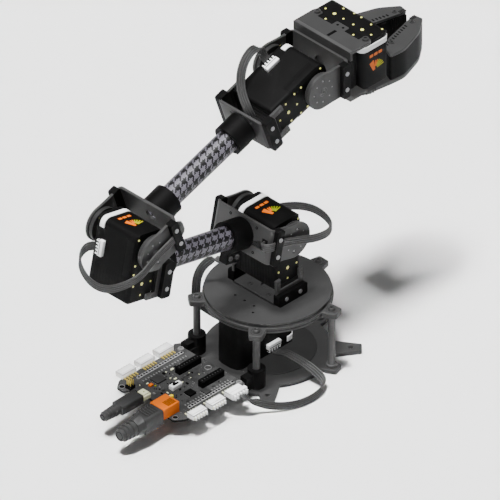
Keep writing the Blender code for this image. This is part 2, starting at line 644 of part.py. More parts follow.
# ---- assembly ----------------------------------------------------------------------------------
def build_base(base, paint):
    """Everything that stays still on the table."""
    finish(base_plate(), "base_plate", paint["plate"], base)
    finish(bar((0, 0, BASE_THICKNESS + GAP), (0, 0, MAT_TOP), MAT_RADIUS, sides=64),
           "base_mat", paint["dark_plate"], base)
    finish(top_plate(), "top_plate", paint["plate"], base)
    for index, angle in enumerate(POST_ANGLES):
        finish(at_angle(post(), angle), f"post_{index + 1}", paint["post"], base)
        finish(at_angle(post_bolt(), angle), f"post_bolt_{index + 1}", paint["steel"], base)
    flat = Matrix(((0, 0, 1), (-1, 0, 0), (0, -1, 0))).to_4x4()
    place = (0, 0, TOP_PLATE_LOW - GAP - SERVO_DEPTH / 2)
    finish(servo_case(BASE_SERVO_TAIL_RADIUS), "base_servo_case", paint["case"], base, place, flat)
    finish(servo_lens(), "base_servo_lens", paint["lens"], base, place, flat)
    finish(controller_board(), "controller_board", paint["board"], base)
    finish(switch_slider(), "switch_slider", paint["socket"], base)
    finish(power_jack(), "power_jack", paint["orange"], base)
    finish(power_plug(), "power_plug", paint["plug"], base)
    finish(usb_plug(), "usb_plug", paint["plug"], base)
    finish(board_clamp(-1), "board_clamp_near", paint["clamp"], base)
    finish(board_clamp(1), "board_clamp_far", paint["clamp"], base)
    finish(ribbon_cable(BOARD_CABLE), "board_cable", paint["ribbon"], base)
    finish(ribbon_cable(TURRET_CABLE), "turret_cable", paint["ribbon"], base)


def build_turret(turret, paint):
    """The turntable and the upright shoulder servo in its cradle."""
    finish(turntable(), "turntable", paint["plate"], turret)
    finish(base_horn(), "base_horn", paint["dark_plate"], turret)
    hub = (0, 0, SHOULDER_HEIGHT - HUB_PITCH)
    finish(servo_cradle(), "shoulder_cradle", paint["plate"], turret, hub)
    finish(servo_case(), "shoulder_servo_case", paint["case"], turret, (0, 0, SHOULDER_HEIGHT))
    finish(servo_lens(), "shoulder_servo_lens", paint["lens"], turret, (0, 0, SHOULDER_HEIGHT))


def build_link(frame, near, far, lug_side, lug_reach, servo_place, servo_turn, paint):
    """One arm link: yoke, clamps and tube, and the next servo in its cradle."""
    finish(yoke(), f"{near}_yoke", paint["plate"], frame)
    finish(horn(-1), f"{near}_horn", paint["dark_plate"], frame)
    finish(horn(1), f"{near}_idler", paint["dark_plate"], frame)
    low, high = BRACKET_REACH + GAP, LINK_LENGTH - BRACKET_REACH - CLAMP_LENGTH
    finish(tube_clamp(low, lug_side, lug_reach), f"{near}_tube_clamp", paint["clamp"], frame)
    finish(tube(), f"{near}_{far}_tube", paint["carbon"], frame)
    finish(tube_clamp(high, lug_side, lug_reach), f"{far}_tube_clamp", paint["clamp"], frame)
    finish(servo_cradle(), f"{far}_cradle", paint["plate"], frame, (0, 0, LINK_LENGTH))
    finish(servo_case(), f"{far}_servo_case", paint["case"], frame, servo_place, servo_turn)
    finish(servo_lens(), f"{far}_servo_lens", paint["lens"], frame, servo_place, servo_turn)


def build_hand(hand, paint):
    """The wrist yoke and the gripper servo in its frame."""
    finish(yoke(), "wrist_yoke", paint["plate"], hand)
    finish(horn(-1), "wrist_horn", paint["dark_plate"], hand)
    finish(horn(1), "wrist_idler", paint["dark_plate"], hand)
    finish(gripper_frame(), "gripper_frame", paint["plate"], hand)
    across = Matrix(((0, -1, 0), (0, 0, -1), (1, 0, 0))).to_4x4()
    place = (0, -JAW_PITCH / 2, JAW_PIVOT_REACH)
    case = servo_case()
    case.data.transform(Matrix.Translation(Vector(place) * MM) @ across)
    deep = SERVO_DEPTH / 2
    case = cut(case, frame_plate(-deep - 1, -deep + SHEET + GAP, GAP, True))
    finish(case, "gripper_servo_case", paint["case"], hand)
    finish(servo_lens(), "gripper_servo_lens", paint["lens"], hand, place, across)


def build_jaws(near, far, paint):
    """The two geared fingers, each modelled about the hand and hung on its own pivot."""
    for frame, side, shift, name in ((near, -1, 0.0, "near"), (far, 1, 0.5, "far")):
        back_to_hand = Matrix.Translation(-frame.location)
        finish(jaw_plate(side, shift), f"jaw_plate_{name}", paint["plate"], frame,
               turn=back_to_hand)
        finish(jaw_grip(side), f"jaw_grip_{name}", paint["clamp"], frame, turn=back_to_hand)


def hang_cable(points, name, frame, paint):
    """A cable whose route is given in the robot's frame, carried by a joint's frame."""
    bpy.context.view_layer.update()
    finish(ribbon_cable(points), name, paint["ribbon"], frame, turn=frame.matrix_world.inverted())


def build_robot():
    paint = {
        "plate": make_material("anodised_plate", (0.098, 0.098, 0.1), 0.45, 0.6),
        "dark_plate": make_material("dark_plate", (0.052, 0.052, 0.054), 0.5, 0.5),
        "post": make_material("post_grey", (0.06, 0.06, 0.062), 0.4, 0.6),
        "steel": make_material("steel_screw", (0.3, 0.3, 0.31), 0.35, 1.0),
        "case": make_material("servo_black", (0.012, 0.012, 0.012), 0.45),
        "lens": make_material("strip_white", (0.75, 0.75, 0.75), 0.3),
        "clamp": make_material("moulded_black", (0.01, 0.01, 0.01), 0.5),
        "carbon": make_material("woven_carbon", (0.15, 0.15, 0.16), 0.35),
        "board": make_material("board_grey", (0.06, 0.06, 0.062), 0.5),
        "socket": make_material("socket_white", (0.8, 0.8, 0.8), 0.4),
        "orange": make_material("jack_orange", (1.0, 0.2, 0.005), 0.4),
        "plug": make_material("plug_grey", (0.06, 0.06, 0.06), 0.6),
        "ribbon": make_material("ribbon_grey", (0.06, 0.06, 0.062), 0.6),
    }
    base = axis_frame("base_frame", None)
    turret = axis_frame("turret_axis", base)
    upper = axis_frame("shoulder_axis", turret, (0, 0, SHOULDER_HEIGHT), UPPER_ARM_LEAN)
    elbow = (HUB_PITCH, 0, LINK_LENGTH)
    fore = axis_frame("elbow_axis", upper, elbow, FOREARM_LEAN - UPPER_ARM_LEAN)
    wrist = (0, 0, LINK_LENGTH + HUB_PITCH)
    hand = axis_frame("wrist_axis", fore, wrist, HAND_LEAN - FOREARM_LEAN)
    jaws = [axis_frame(f"jaw_axis_{name}", hand, (0, side * JAW_PITCH / 2, JAW_PIVOT_REACH))
            for side, name in ((-1, "near"), (1, "far"))]
    upright = Matrix.Identity(4)
    across = Matrix.Rotation(math.radians(90), 4, "Y")
    build_base(base, paint)
    build_turret(turret, paint)
    build_link(upper, "shoulder", "elbow", -1, 19.5, elbow, across, paint)
    build_link(fore, "forearm", "wrist", 1, 14.4, wrist, upright, paint)
    build_hand(hand, paint)
    build_jaws(*jaws, paint)
    hang_cable(SHOULDER_CABLE, "shoulder_cable", upper, paint)
    hang_cable(ELBOW_CABLE, "elbow_cable", fore, paint)
    hang_cable(WRIST_CABLE, "wrist_cable", fore, paint)
    bpy.context.view_layer.update()


clear_scene()
ROBOT = bpy.data.collections.new("desktop_robot_arm")
bpy.context.scene.collection.children.link(ROBOT)
build_robot()
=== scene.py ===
"""The looks of the desktop robot arm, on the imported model's frame.

Shapes are written in millimetres in the local frame of the servo, bracket or link that they sit on,
and become metres as each piece is settled on its body.
"""
import json
import math
import random

import bmesh
import bpy
from mathutils import Matrix, Vector


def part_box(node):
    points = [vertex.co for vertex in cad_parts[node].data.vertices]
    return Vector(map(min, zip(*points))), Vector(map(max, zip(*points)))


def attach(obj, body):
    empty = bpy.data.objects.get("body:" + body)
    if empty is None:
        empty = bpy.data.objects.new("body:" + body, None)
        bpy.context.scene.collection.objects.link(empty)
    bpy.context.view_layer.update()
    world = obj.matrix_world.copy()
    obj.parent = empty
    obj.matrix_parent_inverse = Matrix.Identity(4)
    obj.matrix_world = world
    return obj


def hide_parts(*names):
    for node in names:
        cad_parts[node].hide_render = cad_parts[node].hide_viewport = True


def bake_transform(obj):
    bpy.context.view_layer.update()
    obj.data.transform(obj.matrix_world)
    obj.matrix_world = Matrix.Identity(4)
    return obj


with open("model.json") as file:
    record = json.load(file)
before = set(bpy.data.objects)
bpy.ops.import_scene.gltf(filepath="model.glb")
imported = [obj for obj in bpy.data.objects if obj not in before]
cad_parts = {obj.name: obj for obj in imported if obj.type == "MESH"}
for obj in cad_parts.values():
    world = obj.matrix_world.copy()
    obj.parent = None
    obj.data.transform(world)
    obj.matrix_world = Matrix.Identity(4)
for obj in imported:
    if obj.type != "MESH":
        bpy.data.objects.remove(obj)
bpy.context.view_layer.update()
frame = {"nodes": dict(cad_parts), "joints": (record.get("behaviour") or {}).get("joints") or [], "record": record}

MM = 0.001

# How a CAD shape is cleaned and softened, in metres and degrees.
WELD_DISTANCE = 0.000004
FLAT_ANGLE = 0.6
CRISP_ANGLE = 38

# ---- the robot's driving dimensions, as in its CAD source ----
HUB_PITCH = 26.5
LINK_LENGTH = 142.5
BRACKET_REACH = 25.4
SERVO_HEAD = 13.0
SERVO_DEPTH = 38.0
SERVO_WIDTH = 26.0
YOKE_SPAN = 54.0
TUBE_RADIUS = 8.2
TUBE_BORE = 7.0
UPPER_ARM_LEAN = -78.0
FOREARM_LEAN = 71.2
HAND_LEAN = 90.0
BASE_SERVO_HEIGHT = 26.3
JAW_PIVOT_REACH = 51.0
POST_AT = 48.5
POST_ANGLES = (0, 72, 144, 216, 288)
BOARD_LOW = 12.9
BOARD_HIGH = 14.5
PORT_PLACES = (-66.0, -83.7, -101.4)
RADIO_SOCKETS = (-12.5, 9.5)
HEADER_PITCH = 2.54
SCATTER_TRIES = 230
CLAMP_LENGTH = 16.2
CLAMP_GAP = 0.3
UP = (0, 0, 1)

# ---- the view and the studio, in metres ----
VIEW_WIDTH = 0.338
VIEW_AIM = (0.01935, 0.03627, 0.05561)
VIEW_DISTANCE = 1.2
OVERHEAD = (-0.2, -0.01, 1.0)
NEAR_LEFT = (-1.4, -0.6, 0.3)
KEY_SPREAD = 10
SUN_STRENGTHS = {"overhead_key": 5.6, "floor_key": 4.0, "overhead_fill": 5.0, "near_fill": 0.7}
ROOM_STRENGTH = 0.14
FLOOR_REACH = 4.0
FLOOR_DROP = 0.0002


def joint_place(name):
    """A joint's place in millimetres."""
    joint = next(item for item in frame["joints"] if item["name"] == name)
    return Vector(joint["pos_m"]) / MM


def moved(place):
    return Matrix.Translation(Vector(place))


def leaning(degrees):
    return Matrix.Rotation(math.radians(degrees), 4, "Y")


UPPER_ARM = moved(joint_place("shoulder_pitch")) @ leaning(UPPER_ARM_LEAN)
FOREARM = moved(joint_place("elbow_pitch")) @ leaning(FOREARM_LEAN)
HAND = moved(joint_place("wrist_pitch")) @ leaning(HAND_LEAN)
LYING = Matrix(((0, 0, 1), (-1, 0, 0), (0, -1, 0))).to_4x4()
ACROSS = Matrix(((0, -1, 0), (0, 0, -1), (1, 0, 0))).to_4x4()
WORLD = Matrix.Identity(4)

# Each servo's frame and body: local Y is along its shaft and local Z points to its label end.
SERVOS = {
    "base": (moved((0, 0, BASE_SERVO_HEIGHT)) @ LYING, "base"),
    "shoulder": (moved(joint_place("shoulder_pitch")), "turret"),
    "elbow": (UPPER_ARM @ moved((HUB_PITCH, 0, LINK_LENGTH)) @ leaning(90), "upper_arm"),
    "wrist": (FOREARM @ moved((0, 0, LINK_LENGTH + HUB_PITCH)), "forearm"),
    "gripper": (HAND @ moved((0, -HUB_PITCH / 2, JAW_PIVOT_REACH)) @ ACROSS, "hand"),
}
YOKES = {"shoulder": (UPPER_ARM, "upper_arm"), "forearm": (FOREARM, "forearm"), "wrist": (HAND, "hand")}
CRADLES = {
    "shoulder": (moved(joint_place("shoulder_pitch")) @ moved((0, 0, -HUB_PITCH)), "turret"),
    "elbow": (UPPER_ARM @ moved((0, 0, LINK_LENGTH)), "upper_arm"),
    "wrist": (FOREARM @ moved((0, 0, LINK_LENGTH)), "forearm"),
}

# ---- ribbon cables: the routes of the CAD source, in millimetres ----
BOARD_CABLE = [
    (-8.3, -15, 11.8), (-8.1, -18.4, 11.9), (-7.8, -25, 14.6), (-7.2, -31.6, 14.6), (-5.4, -39.5, 12.8),
    (-3.8, -46.5, 10.2), (-3, -52, 7.6), (-3.8, -56.8, 5.2), (-7.2, -60.2, 4), (-13.5, -62.6, 3.5),
    (-21.4, -63.6, 3.4), (-30, -62.6, 3.4), (-37, -60, 3.6), (-44, -56.4, 4.4), (-50.5, -52.2, 6.2),
    (-57, -47.4, 9.4), (-61.6, -45.4, 13), (-64.8, -43.2, 15.6), (-65.8, -40.8, 16.8), (-66, -38.4, 17)
]
TURRET_CABLE = [
    (-8.3, 15, 11.8), (-8.6, 18.6, 12), (-9.6, 25, 15.6), (-13.5, 31.5, 19.6), (-20, 36.6, 25.4),
    (-26.6, 38.6, 33), (-30.2, 38, 41), (-31.2, 37.2, 49), (-30.9, 36.6, 57), (-28.9, 35, 64.6),
    (-25.2, 32.4, 70), (-21.4, 29.2, 72.2), (-18.8, 25.4, 71.8), (-17, 21.4, 71.4), (-16, 18.6, 74),
    (-15.5, 17.6, 80), (-15.3, 17.5, 87), (-15.2, 17, 93), (-15.2, 15.6, 96.2), (-15.2, 13.8, 96.4)
]
SHOULDER_CABLE = [
    (15.2, 13.8, 96.4), (15.9, 16.8, 96.5), (19.5, 18.4, 96.8), (25.4, 16.6, 97.4), (31.4, 12, 98.2),
    (36.2, 6, 98.9), (39.8, -1, 99), (41.6, -8, 98), (41.4, -15, 96.8), (38.6, -21.6, 96.2),
    (33.6, -26.2, 97), (27, -29.4, 98.6), (19.6, -31.2, 100.8), (12, -31.6, 103), (4, -31, 105.6),
    (-4, -30, 107.9), (-12, -28.9, 110), (-18.7, -28.6, 111.2), (-24.2, -28.4, 111.6),
    (-27.8, -26, 111.7), (-28, -22.9, 111.3), (-24.8, -21.5, 110.4), (-21.5, -21.4, 109.8)
]
ELBOW_CABLE = [
    (-150.8, 13.8, 155.2), (-151.6, 17, 154.2), (-154.4, 19.8, 152.2), (-159.4, 19.3, 149.4),
    (-163.8, 15.6, 146.2), (-167, 9, 143.4), (-169.4, 0, 141.7), (-170.3, -10, 142.3), (-168.8, -19, 145),
    (-164.6, -26.2, 149), (-158.6, -30.2, 152), (-151.4, -31.2, 154.2), (-144.6, -30.4, 156.4),
    (-138, -29.2, 158.5), (-131, -28.8, 160.9), (-124.5, -28.7, 163.2), (-118, -28.6, 165.5),
    (-111.8, -28.4, 167.7), (-107.2, -26.2, 169.5), (-106.6, -22.9, 169.7), (-110, -21.5, 168.6),
    (-113.4, -21.4, 167.4)
]
WRIST_CABLE = [
    (13.2, 13.8, 227.2), (12.6, 16.2, 229.2), (11.4, 17.2, 233.6), (8.8, 16.9, 237.6), (4.8, 16.8, 239.4),
    (0.4, 16.8, 238.8), (-5.4, 16, 235.4), (-11, 14, 229.8), (-15.4, 10.4, 222.8), (-18.2, 5.4, 216.9),
    (-19.8, 0.6, 212.6), (-20, -2.2, 208.2), (-18.6, -3, 204.4)
]

# The section of a ribbon and the spacing of its sections, in metres.
WIRE_COUNT = 4
WIRE_RADIUS = 0.0008
RIBBON_STEP = 0.0022


# ---- outlines and solids ----
def circle(centre, radius, sides):
    """The points of a circle."""
    steps = [math.tau * step / sides for step in range(sides)]
    return [(centre[0] + radius * math.cos(a), centre[1] + radius * math.sin(a)) for a in steps]


def rounded(corners, radii):
    """An outline through some corners, each turned on a radius of its own or all on the same one."""
    if not isinstance(radii, list):
        radii = [radii] * len(corners)
    points, steps = [], 5
    for index, radius in enumerate(radii):
        here = Vector(corners[index])
        back = (Vector(corners[index - 1]) - here).normalized()
        on = (Vector(corners[(index + 1) % len(corners)]) - here).normalized()
        half = back.angle(on) / 2
        centre = here + (back + on).normalized() * radius / math.sin(half)
        first = here + back * radius / math.tan(half) - centre
        last = here + on * radius / math.tan(half) - centre
        begin = math.atan2(first.y, first.x)
        sweep = (math.atan2(last.y, last.x) - begin + math.pi) % math.tau - math.pi
        for step in range(steps + 1):
            angle = begin + sweep * step / steps
            points.append((centre.x + radius * math.cos(angle), centre.y + radius * math.sin(angle)))
    return points


def stroke(start, end, width):
    """The outline of a straight stroke of some width."""
    side = (end - start).normalized().orthogonal() * width / 2
    return [tuple(start - side), tuple(end - side), tuple(end + side), tuple(start + side)]


def grown(outline, amount):
    """An outline moved outwards, for a plate that stands a little proud of what it covers."""
    middle = sum((Vector(point) for point in outline), Vector((0, 0))) / len(outline)
    return [tuple(Vector(point) + (Vector(point) - middle).normalized() * amount) for point in outline]


def block(form, low, high, soft):
    """Add a box, with softened edges unless soft is nought."""
    made = bmesh.ops.create_cube(form, size=1.0)["verts"]
    size = [b - a for a, b in zip(low, high)]
    middle = [(b + a) / 2 for a, b in zip(low, high)]
    bmesh.ops.scale(form, vec=size, verts=made)
    bmesh.ops.translate(form, vec=middle, verts=made)
    if soft:
        edges = list({edge for vert in made for edge in vert.link_edges})
        bmesh.ops.bevel(form, geom=edges, offset=soft, segments=2, profile=0.6, affect="EDGES")


def side_block(form, side, axis, low, high, soft):
    """Add a box whose reach along one axis is counted outwards, to one side or the other."""
    low, high = list(low), list(high)
    spot = "XYZ".index(axis)
    low[spot], high[spot] = sorted((side * low[spot], side * high[spot]))
    block(form, low, high, soft)


def skin(form, before, loop):
    """Join two closed rows of points with a band of faces."""
    for part in range(len(loop)):
        form.faces.new((before[part - 1], before[part], loop[part], loop[part - 1]))


def slab(form, outline, low, high, axis="Z"):
    """Add a flat outline, from low to high along an axis."""
    def lift(point, height):
        a, b = point
        return {"X": (height, a, b), "Y": (a, height, b), "Z": (a, b, height)}[axis]
    under = [form.verts.new(lift(point, low)) for point in outline]
    over = [form.verts.new(lift(point, high)) for point in outline]
    form.faces.new(under)
    form.faces.new(list(reversed(over)))
    skin(form, under, over)


def rod(form, start, end, radius, tip_radius, sides, socket=0.0, depth=0.0):
    """Add a round bar or cone, with a socket sunk into its far end if one is given."""
    start, end = Vector(start), Vector(end)
    way = (end - start).normalized()
    turn = way.to_track_quat("Z", "Y").to_matrix().to_4x4()
    made = bmesh.ops.create_cone(form, cap_ends=True, segments=sides, radius1=radius, radius2=tip_radius,
                                 depth=(end - start).length,
                                 matrix=Matrix.Translation((start + end) / 2) @ turn)["verts"]
    if socket:
        faces = {face for vert in made for face in vert.link_faces}
        top = max(faces, key=lambda face: face.calc_center_median().dot(way))
        bmesh.ops.inset_region(form, faces=[top], thickness=tip_radius - socket, use_even_offset=True)
        hole = bmesh.ops.extrude_discrete_faces(form, faces=[top])["faces"][0]
        bmesh.ops.translate(form, vec=-way * depth, verts=hole.verts)


def ring(form, centre, axis, radius, thickness, around=48):
    """Add a thin round ring about an axis."""
    turn = Vector(axis).to_track_quat("Z", "Y").to_matrix()
    loops = []
    for step in range(around):
        angle = math.tau * step / around
        out = Vector((math.cos(angle), math.sin(angle), 0))
        loop = []
        for x, y in circle((radius, 0), thickness, 8):
            loop.append(form.verts.new(Vector(centre) + turn @ (out * x + Vector((0, 0, y)))))
        loops.append(loop)
    for index, loop in enumerate(loops):
        skin(form, loops[index - 1], loop)


def in_metres(matrix):
    """The same frame with its place in metres."""
    scaled = matrix.copy()
    scaled.translation = matrix.translation * MM
    return scaled


def add_object(name, data):
    """A new object in the scene."""
    made = bpy.data.objects.new(name, data)
    bpy.context.scene.collection.objects.link(made)
    return made


def as_object(name, form, mesh=None):
    """A form as an object of the scene, in a new mesh unless one is given."""
    if mesh is None:
        mesh = bpy.data.meshes.new(name)
    form.to_mesh(mesh)
    form.free()
    return add_object(name, mesh)


def dress(piece, material, angle=35):
    """Give a piece its material and smooth shading up to an angle."""
    piece.data.materials.clear()
    piece.data.materials.append(material)
    piece.data.shade_smooth()
    piece.data.set_sharp_from_angle(angle=math.radians(angle))


def settle(name, form, matrix, material, body, bevel=0.0):
    """Make a piece of a form that was built in a local frame, and ride it on its body.
    """
    bmesh.ops.recalc_face_normals(form, faces=form.faces)
    form.transform(Matrix.Scale(MM, 4) @ matrix)
    piece = as_object(name, form)
    dress(piece, material)
    if bevel:
        soften_edges(piece, bevel)
    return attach(piece, body)


def soften_edges(piece, width):
    """Round a piece's crisp edges."""
    edge = piece.modifiers.new("soft_edges", "BEVEL")
    edge.width = width * MM
    edge.segments = 2
    edge.limit_method = "ANGLE"
    edge.angle_limit = math.radians(CRISP_ANGLE)
    edge.use_clamp_overlap = True
    edge.harden_normals = False


def finished(node, material, width):
    """A CAD node's own shape with softened edges and a real finish, standing for that node."""
    mesh = frame["nodes"][node].data.copy()
    mesh.name = f"{node}_finished"
    form = bmesh.new()
    form.from_mesh(mesh)
    bmesh.ops.remove_doubles(form, verts=form.verts, dist=WELD_DISTANCE)
    bmesh.ops.dissolve_limit(form, angle_limit=math.radians(FLAT_ANGLE), verts=form.verts, edges=form.edges)
    piece = as_object(f"{node}_finished", form, mesh)
    dress(piece, material)
    soften_edges(piece, width)
    body = next(name for name, nodes in frame["record"]["behaviour"]["bodies"].items() if node in nodes)
    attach(piece, body)
    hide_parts(node)


# ---- materials ----
def tone(value):
    """A grey or a colour in display values from 0 to 255, as linear colour."""
    values = value if isinstance(value, tuple) else (value,) * 3
    linear = [((v / 255 + 0.055) / 1.055) ** 2.4 if v > 10 else v / 255 / 12.92 for v in values]
    return (*linear, 1.0)


class Paint:
    """A Principled material with helpers that add its procedural detail."""

    def __init__(self, name, roughness, metallic=0.0, coat=0.0, alpha=1.0, specular=0.5):
        self.material = bpy.data.materials.new(name)
        self.material.use_nodes = True
        self.tree = self.material.node_tree
        self.surface = self.tree.nodes["Principled BSDF"]
        self.feed(self.surface, {"Roughness": roughness, "Metallic": metallic, "Coat Weight": coat,
                                 "Coat Roughness": 0.15, "Alpha": alpha, "Specular IOR Level": specular})
        self.place = self.node("ShaderNodeTexCoord").outputs["Object"]

    def feed(self, target, inputs):
        """Give each named input its value, or a link to the output that drives it."""
        for name, value in inputs.items():
            if isinstance(value, (int, float, tuple)):
                target.inputs[name].default_value = value
            else:
                self.tree.links.new(value, target.inputs[name])

    def node(self, kind, inputs=None, **settings):
        made = self.tree.nodes.new(kind)
        for key, value in settings.items():
            setattr(made, key, value)
        self.feed(made, inputs or {})
        return made

    def math(self, operation, *values):
        return self.node("ShaderNodeMath", dict(enumerate(values)), operation=operation).outputs[0]

    def noise(self, scale, detail, roughness=0.55, stretch=None):
        source = self.place
        if stretch:
            source = self.node("ShaderNodeMapping", {"Scale": stretch, "Vector": source}).outputs["Vector"]
        return self.node("ShaderNodeTexNoise", {"Vector": source, "Scale": scale, "Detail": detail,
                                                "Roughness": roughness}).outputs["Fac"]

    def mix(self, factor, first, second):
        return self.node("ShaderNodeMix", {0: factor, 6: first, 7: second}, data_type="RGBA").outputs[2]

    def band(self, value, low, high):
        """A value stretched so that low to high covers 0 to 1."""
        return self.node("ShaderNodeMapRange", {"Value": value, "From Min": low, "From Max": high},
                         clamp=True).outputs["Result"]

    def colour(self, value):
        self.feed(self.surface, {"Base Color": value})

    def rough(self, value, low, high):
        made = self.node("ShaderNodeMapRange", {"Value": value, "To Min": low, "To Max": high})
        self.feed(self.surface, {"Roughness": made.outputs["Result"]})

    def bump(self, height, strength, distance):
        made = self.node("ShaderNodeBump", {"Strength": strength, "Distance": distance, "Height": height})
        self.feed(self.surface, {"Normal": made.outputs["Normal"]})


def anodised(name, light, dark, roughness=0.5):
    """Bead-blasted, anodised aluminium: a fine even grain with faint clouding."""
    paint = Paint(name, roughness, metallic=0.1, specular=0.22)
    cloud = paint.noise(70, 4.0)
    grain = paint.noise(2600, 2.0)
    shade = paint.math("ADD", paint.math("MULTIPLY", cloud, 0.65), paint.math("MULTIPLY", grain, 0.35))
    paint.colour(paint.mix(paint.band(shade, 0.3, 0.7), tone(dark), tone(light)))
    paint.rough(cloud, roughness - 0.08, roughness + 0.1)
    paint.bump(grain, 0.25, 0.00006)
    return paint.material


def moulded(name, light, dark, roughness, grain_scale=1500, depth=0.00008, strength=0.35, gloss=0.4):
    """Moulded plastic or rubber with a spark-eroded grain."""
    paint = Paint(name, roughness, specular=gloss)
    grain = paint.noise(grain_scale, 3.0, 0.6)
    cloud = paint.noise(55, 3.0)
    paint.colour(paint.mix(paint.band(cloud, 0.3, 0.7), tone(dark), tone(light)))
    paint.rough(grain, roughness - 0.1, roughness + 0.12)
    paint.bump(grain, strength, depth)
    return paint.material


def turned_metal(name, light, dark, roughness=0.32):
    """Machined screw heads with fine scratches."""
    paint = Paint(name, roughness, metallic=0.55)
    scratch = paint.noise(900, 4.0, 0.7, stretch=(1.0, 6.0, 1.0))
    paint.colour(paint.mix(scratch, tone(dark), tone(light)))
    paint.rough(scratch, roughness - 0.08, roughness + 0.15)
    paint.bump(scratch, 0.2, 0.00004)
    return paint.material


def woven_carbon(name, seam):
    """Braided sleeve under clear resin: eight-thread colour blocks in a two-by-two twill round local Z, each
    thread with painted shade towards its edges.
    """
    paint = Paint(name, 0.4, coat=0.08, specular=0.2)
    threads, twill, colours, seam_width = 64, 4.0, 8.0, 0.07
    pitch = TUBE_RADIUS * math.tau / threads * MM
    axes = paint.node("ShaderNodeSeparateXYZ", {0: paint.place})
    angle = paint.math("ARCTAN2", axes.outputs["Y"], axes.outputs["X"])
    around = paint.math("MULTIPLY", paint.math("ADD", angle, math.pi), threads / math.tau)
    along = paint.math("DIVIDE", paint.math("ADD", axes.outputs["Z"], 1.0), pitch)
    warp, weft = paint.math("FLOOR", around), paint.math("FLOOR", along)
    step = paint.math("MODULO", paint.math("ADD", warp, weft), twill)
    over = paint.math("LESS_THAN", step, twill / 2 - 0.5)
    under = paint.math("SUBTRACT", 1.0, over)

    def on_top(of_warp, of_weft):
        """The warp's value where the warp lies over the weft, and the weft's elsewhere."""
        return paint.math("ADD", paint.math("MULTIPLY", over, of_warp),
                          paint.math("MULTIPLY", under, of_weft))

    stripes = [paint.math("LESS_THAN", paint.math("MODULO", thread, colours), colours / 2 - 0.5)
               for thread in (warp, weft)]
    crown = on_top(*[paint.math("PINGPONG", place, 0.5) for place in (around, along)])
    fibre = paint.noise(2200, 2.0, 0.6)
    pale = paint.mix(fibre, tone((70, 68, 76)), tone((116, 113, 122)))
    black = paint.mix(fibre, tone(3), tone(10))
    woven = paint.mix(on_top(*stripes), black, pale)
    # Painted shade: each thread darkens towards its edges, as if its rounded sides turned away from the light;
    # crown also drives the bump.
    woven = paint.mix(paint.band(crown, 0.02, 0.16), paint.mix(0.72, woven, tone(8)), woven)
    off_seam = paint.math("ABSOLUTE", paint.math("SUBTRACT", angle, math.radians(seam)))
    paint.colour(paint.mix(paint.math("LESS_THAN", off_seam, seam_width / 2), woven, tone(22)))
    paint.bump(crown, 0.5, 0.00025)
    return paint.material


def circuit_board(name):
    """Grey solder mask with traces, vias and light print marks."""
    paint = Paint(name, 0.42, coat=0.06, specular=0.25)
    cells = paint.node("ShaderNodeTexVoronoi", {"Scale": 380, "Vector": paint.place},
                       distance="MANHATTAN", feature="F1")
    bricks = paint.node("ShaderNodeTexBrick", {"Vector": paint.place, "Scale": 260, "Mortar Size": 0.05,
                                               "Color1": tone(44), "Color2": tone(50), "Mortar": tone(64)})
    dots = paint.math("LESS_THAN", cells.outputs["Distance"], 0.16)
    patch = paint.math("GREATER_THAN", paint.noise(140, 2.0), 0.52)
    marks = paint.math("MULTIPLY", dots, patch)
    cloud = paint.band(paint.noise(90, 3.0), 0.45, 0.55)
    plain = paint.mix(cloud, tone(46), bricks.outputs["Color"])
    paint.colour(paint.mix(marks, plain, tone(118)))
    paint.bump(bricks.outputs["Fac"], 0.2, 0.00005)
    return paint.material


def frosted(name, value, alpha=1.0, roughness=0.4):
    """White or clear nylon with faint flow marks."""
    paint = Paint(name, roughness, alpha=alpha)
    flow = paint.noise(120, 3.0, 0.5, stretch=(1.0, 1.0, 4.0))
    paint.colour(paint.mix(flow, tone(value - 12), tone(value + 8)))
    paint.rough(flow, roughness - 0.08, roughness + 0.08)
    paint.bump(paint.noise(1800, 2.0), 0.15, 0.00004)
    return paint.material


def white_floor():
    paint = Paint("studio_floor", 0.9)
    paint.colour(paint.mix(paint.noise(6, 2.0), tone(250), tone(254)))
    return paint.material


PLATE = anodised("anodised_grey", 49, 44)
# A lighter anodised grey: a painted highlight for the strip along the gripper frame's fold.
FOLD_HIGHLIGHT = anodised("anodised_fold_highlight", 64, 58, 0.42)
DARK_PLATE = anodised("anodised_dark", 37, 32)
POST = anodised("anodised_post", 64, 56, 0.42)
CASE = moulded("servo_nylon", 12, 8, 0.58, gloss=0.05)
BLACK = moulded("black_nylon", 8, 5, 0.58, gloss=0.05)
PLUG = moulded("plug_rubber", 36, 30, 0.62, 900, 0.00012, 0.4)
RIBBON = moulded("ribbon_sleeve", 42, 35, 0.55, 2400, 0.00004, 0.2)
STEEL = turned_metal("steel_screw", 150, 112)
DULL_STEEL = turned_metal("dull_screw", 66, 46, 0.4)
DOT_STEEL = turned_metal("dot_screw", 116, 92, 0.4)
PALE_GREY = moulded("pale_nylon", 150, 136, 0.45)
PALE_BRASS = moulded("pale_screw", (236, 236, 140), (216, 216, 112), 0.35)
GOLD = turned_metal("gold_pin", (226, 206, 112), (196, 170, 70), 0.28)
WHITE = frosted("white_nylon", 242)
CLEAR = frosted("clear_nylon", 232, alpha=0.62, roughness=0.25)
CREAM = moulded("cream_nylon", (226, 228, 196), (208, 210, 172), 0.45)
ORANGE = moulded("orange_nylon", (204, 97, 0), (194, 89, 0), 0.42, 1400, 0.00006, 0.25, 0.2)
AMBER = moulded("amber_window", (150, 76, 0), (122, 58, 0), 0.25)
MARK_ORANGE = moulded("mark_orange", (214, 102, 0), (204, 94, 0), 0.5, 2400, 0.00002, 0.1, 0.2)
MARK_GREEN = moulded("mark_lime", (176, 164, 0), (112, 124, 0), 0.5, 2400, 0.00002, 0.1, 0.2)
LAMP_YELLOW = moulded("lamp_yellow", (250, 216, 20), (232, 190, 10), 0.3)
BOARD = circuit_board("solder_mask")
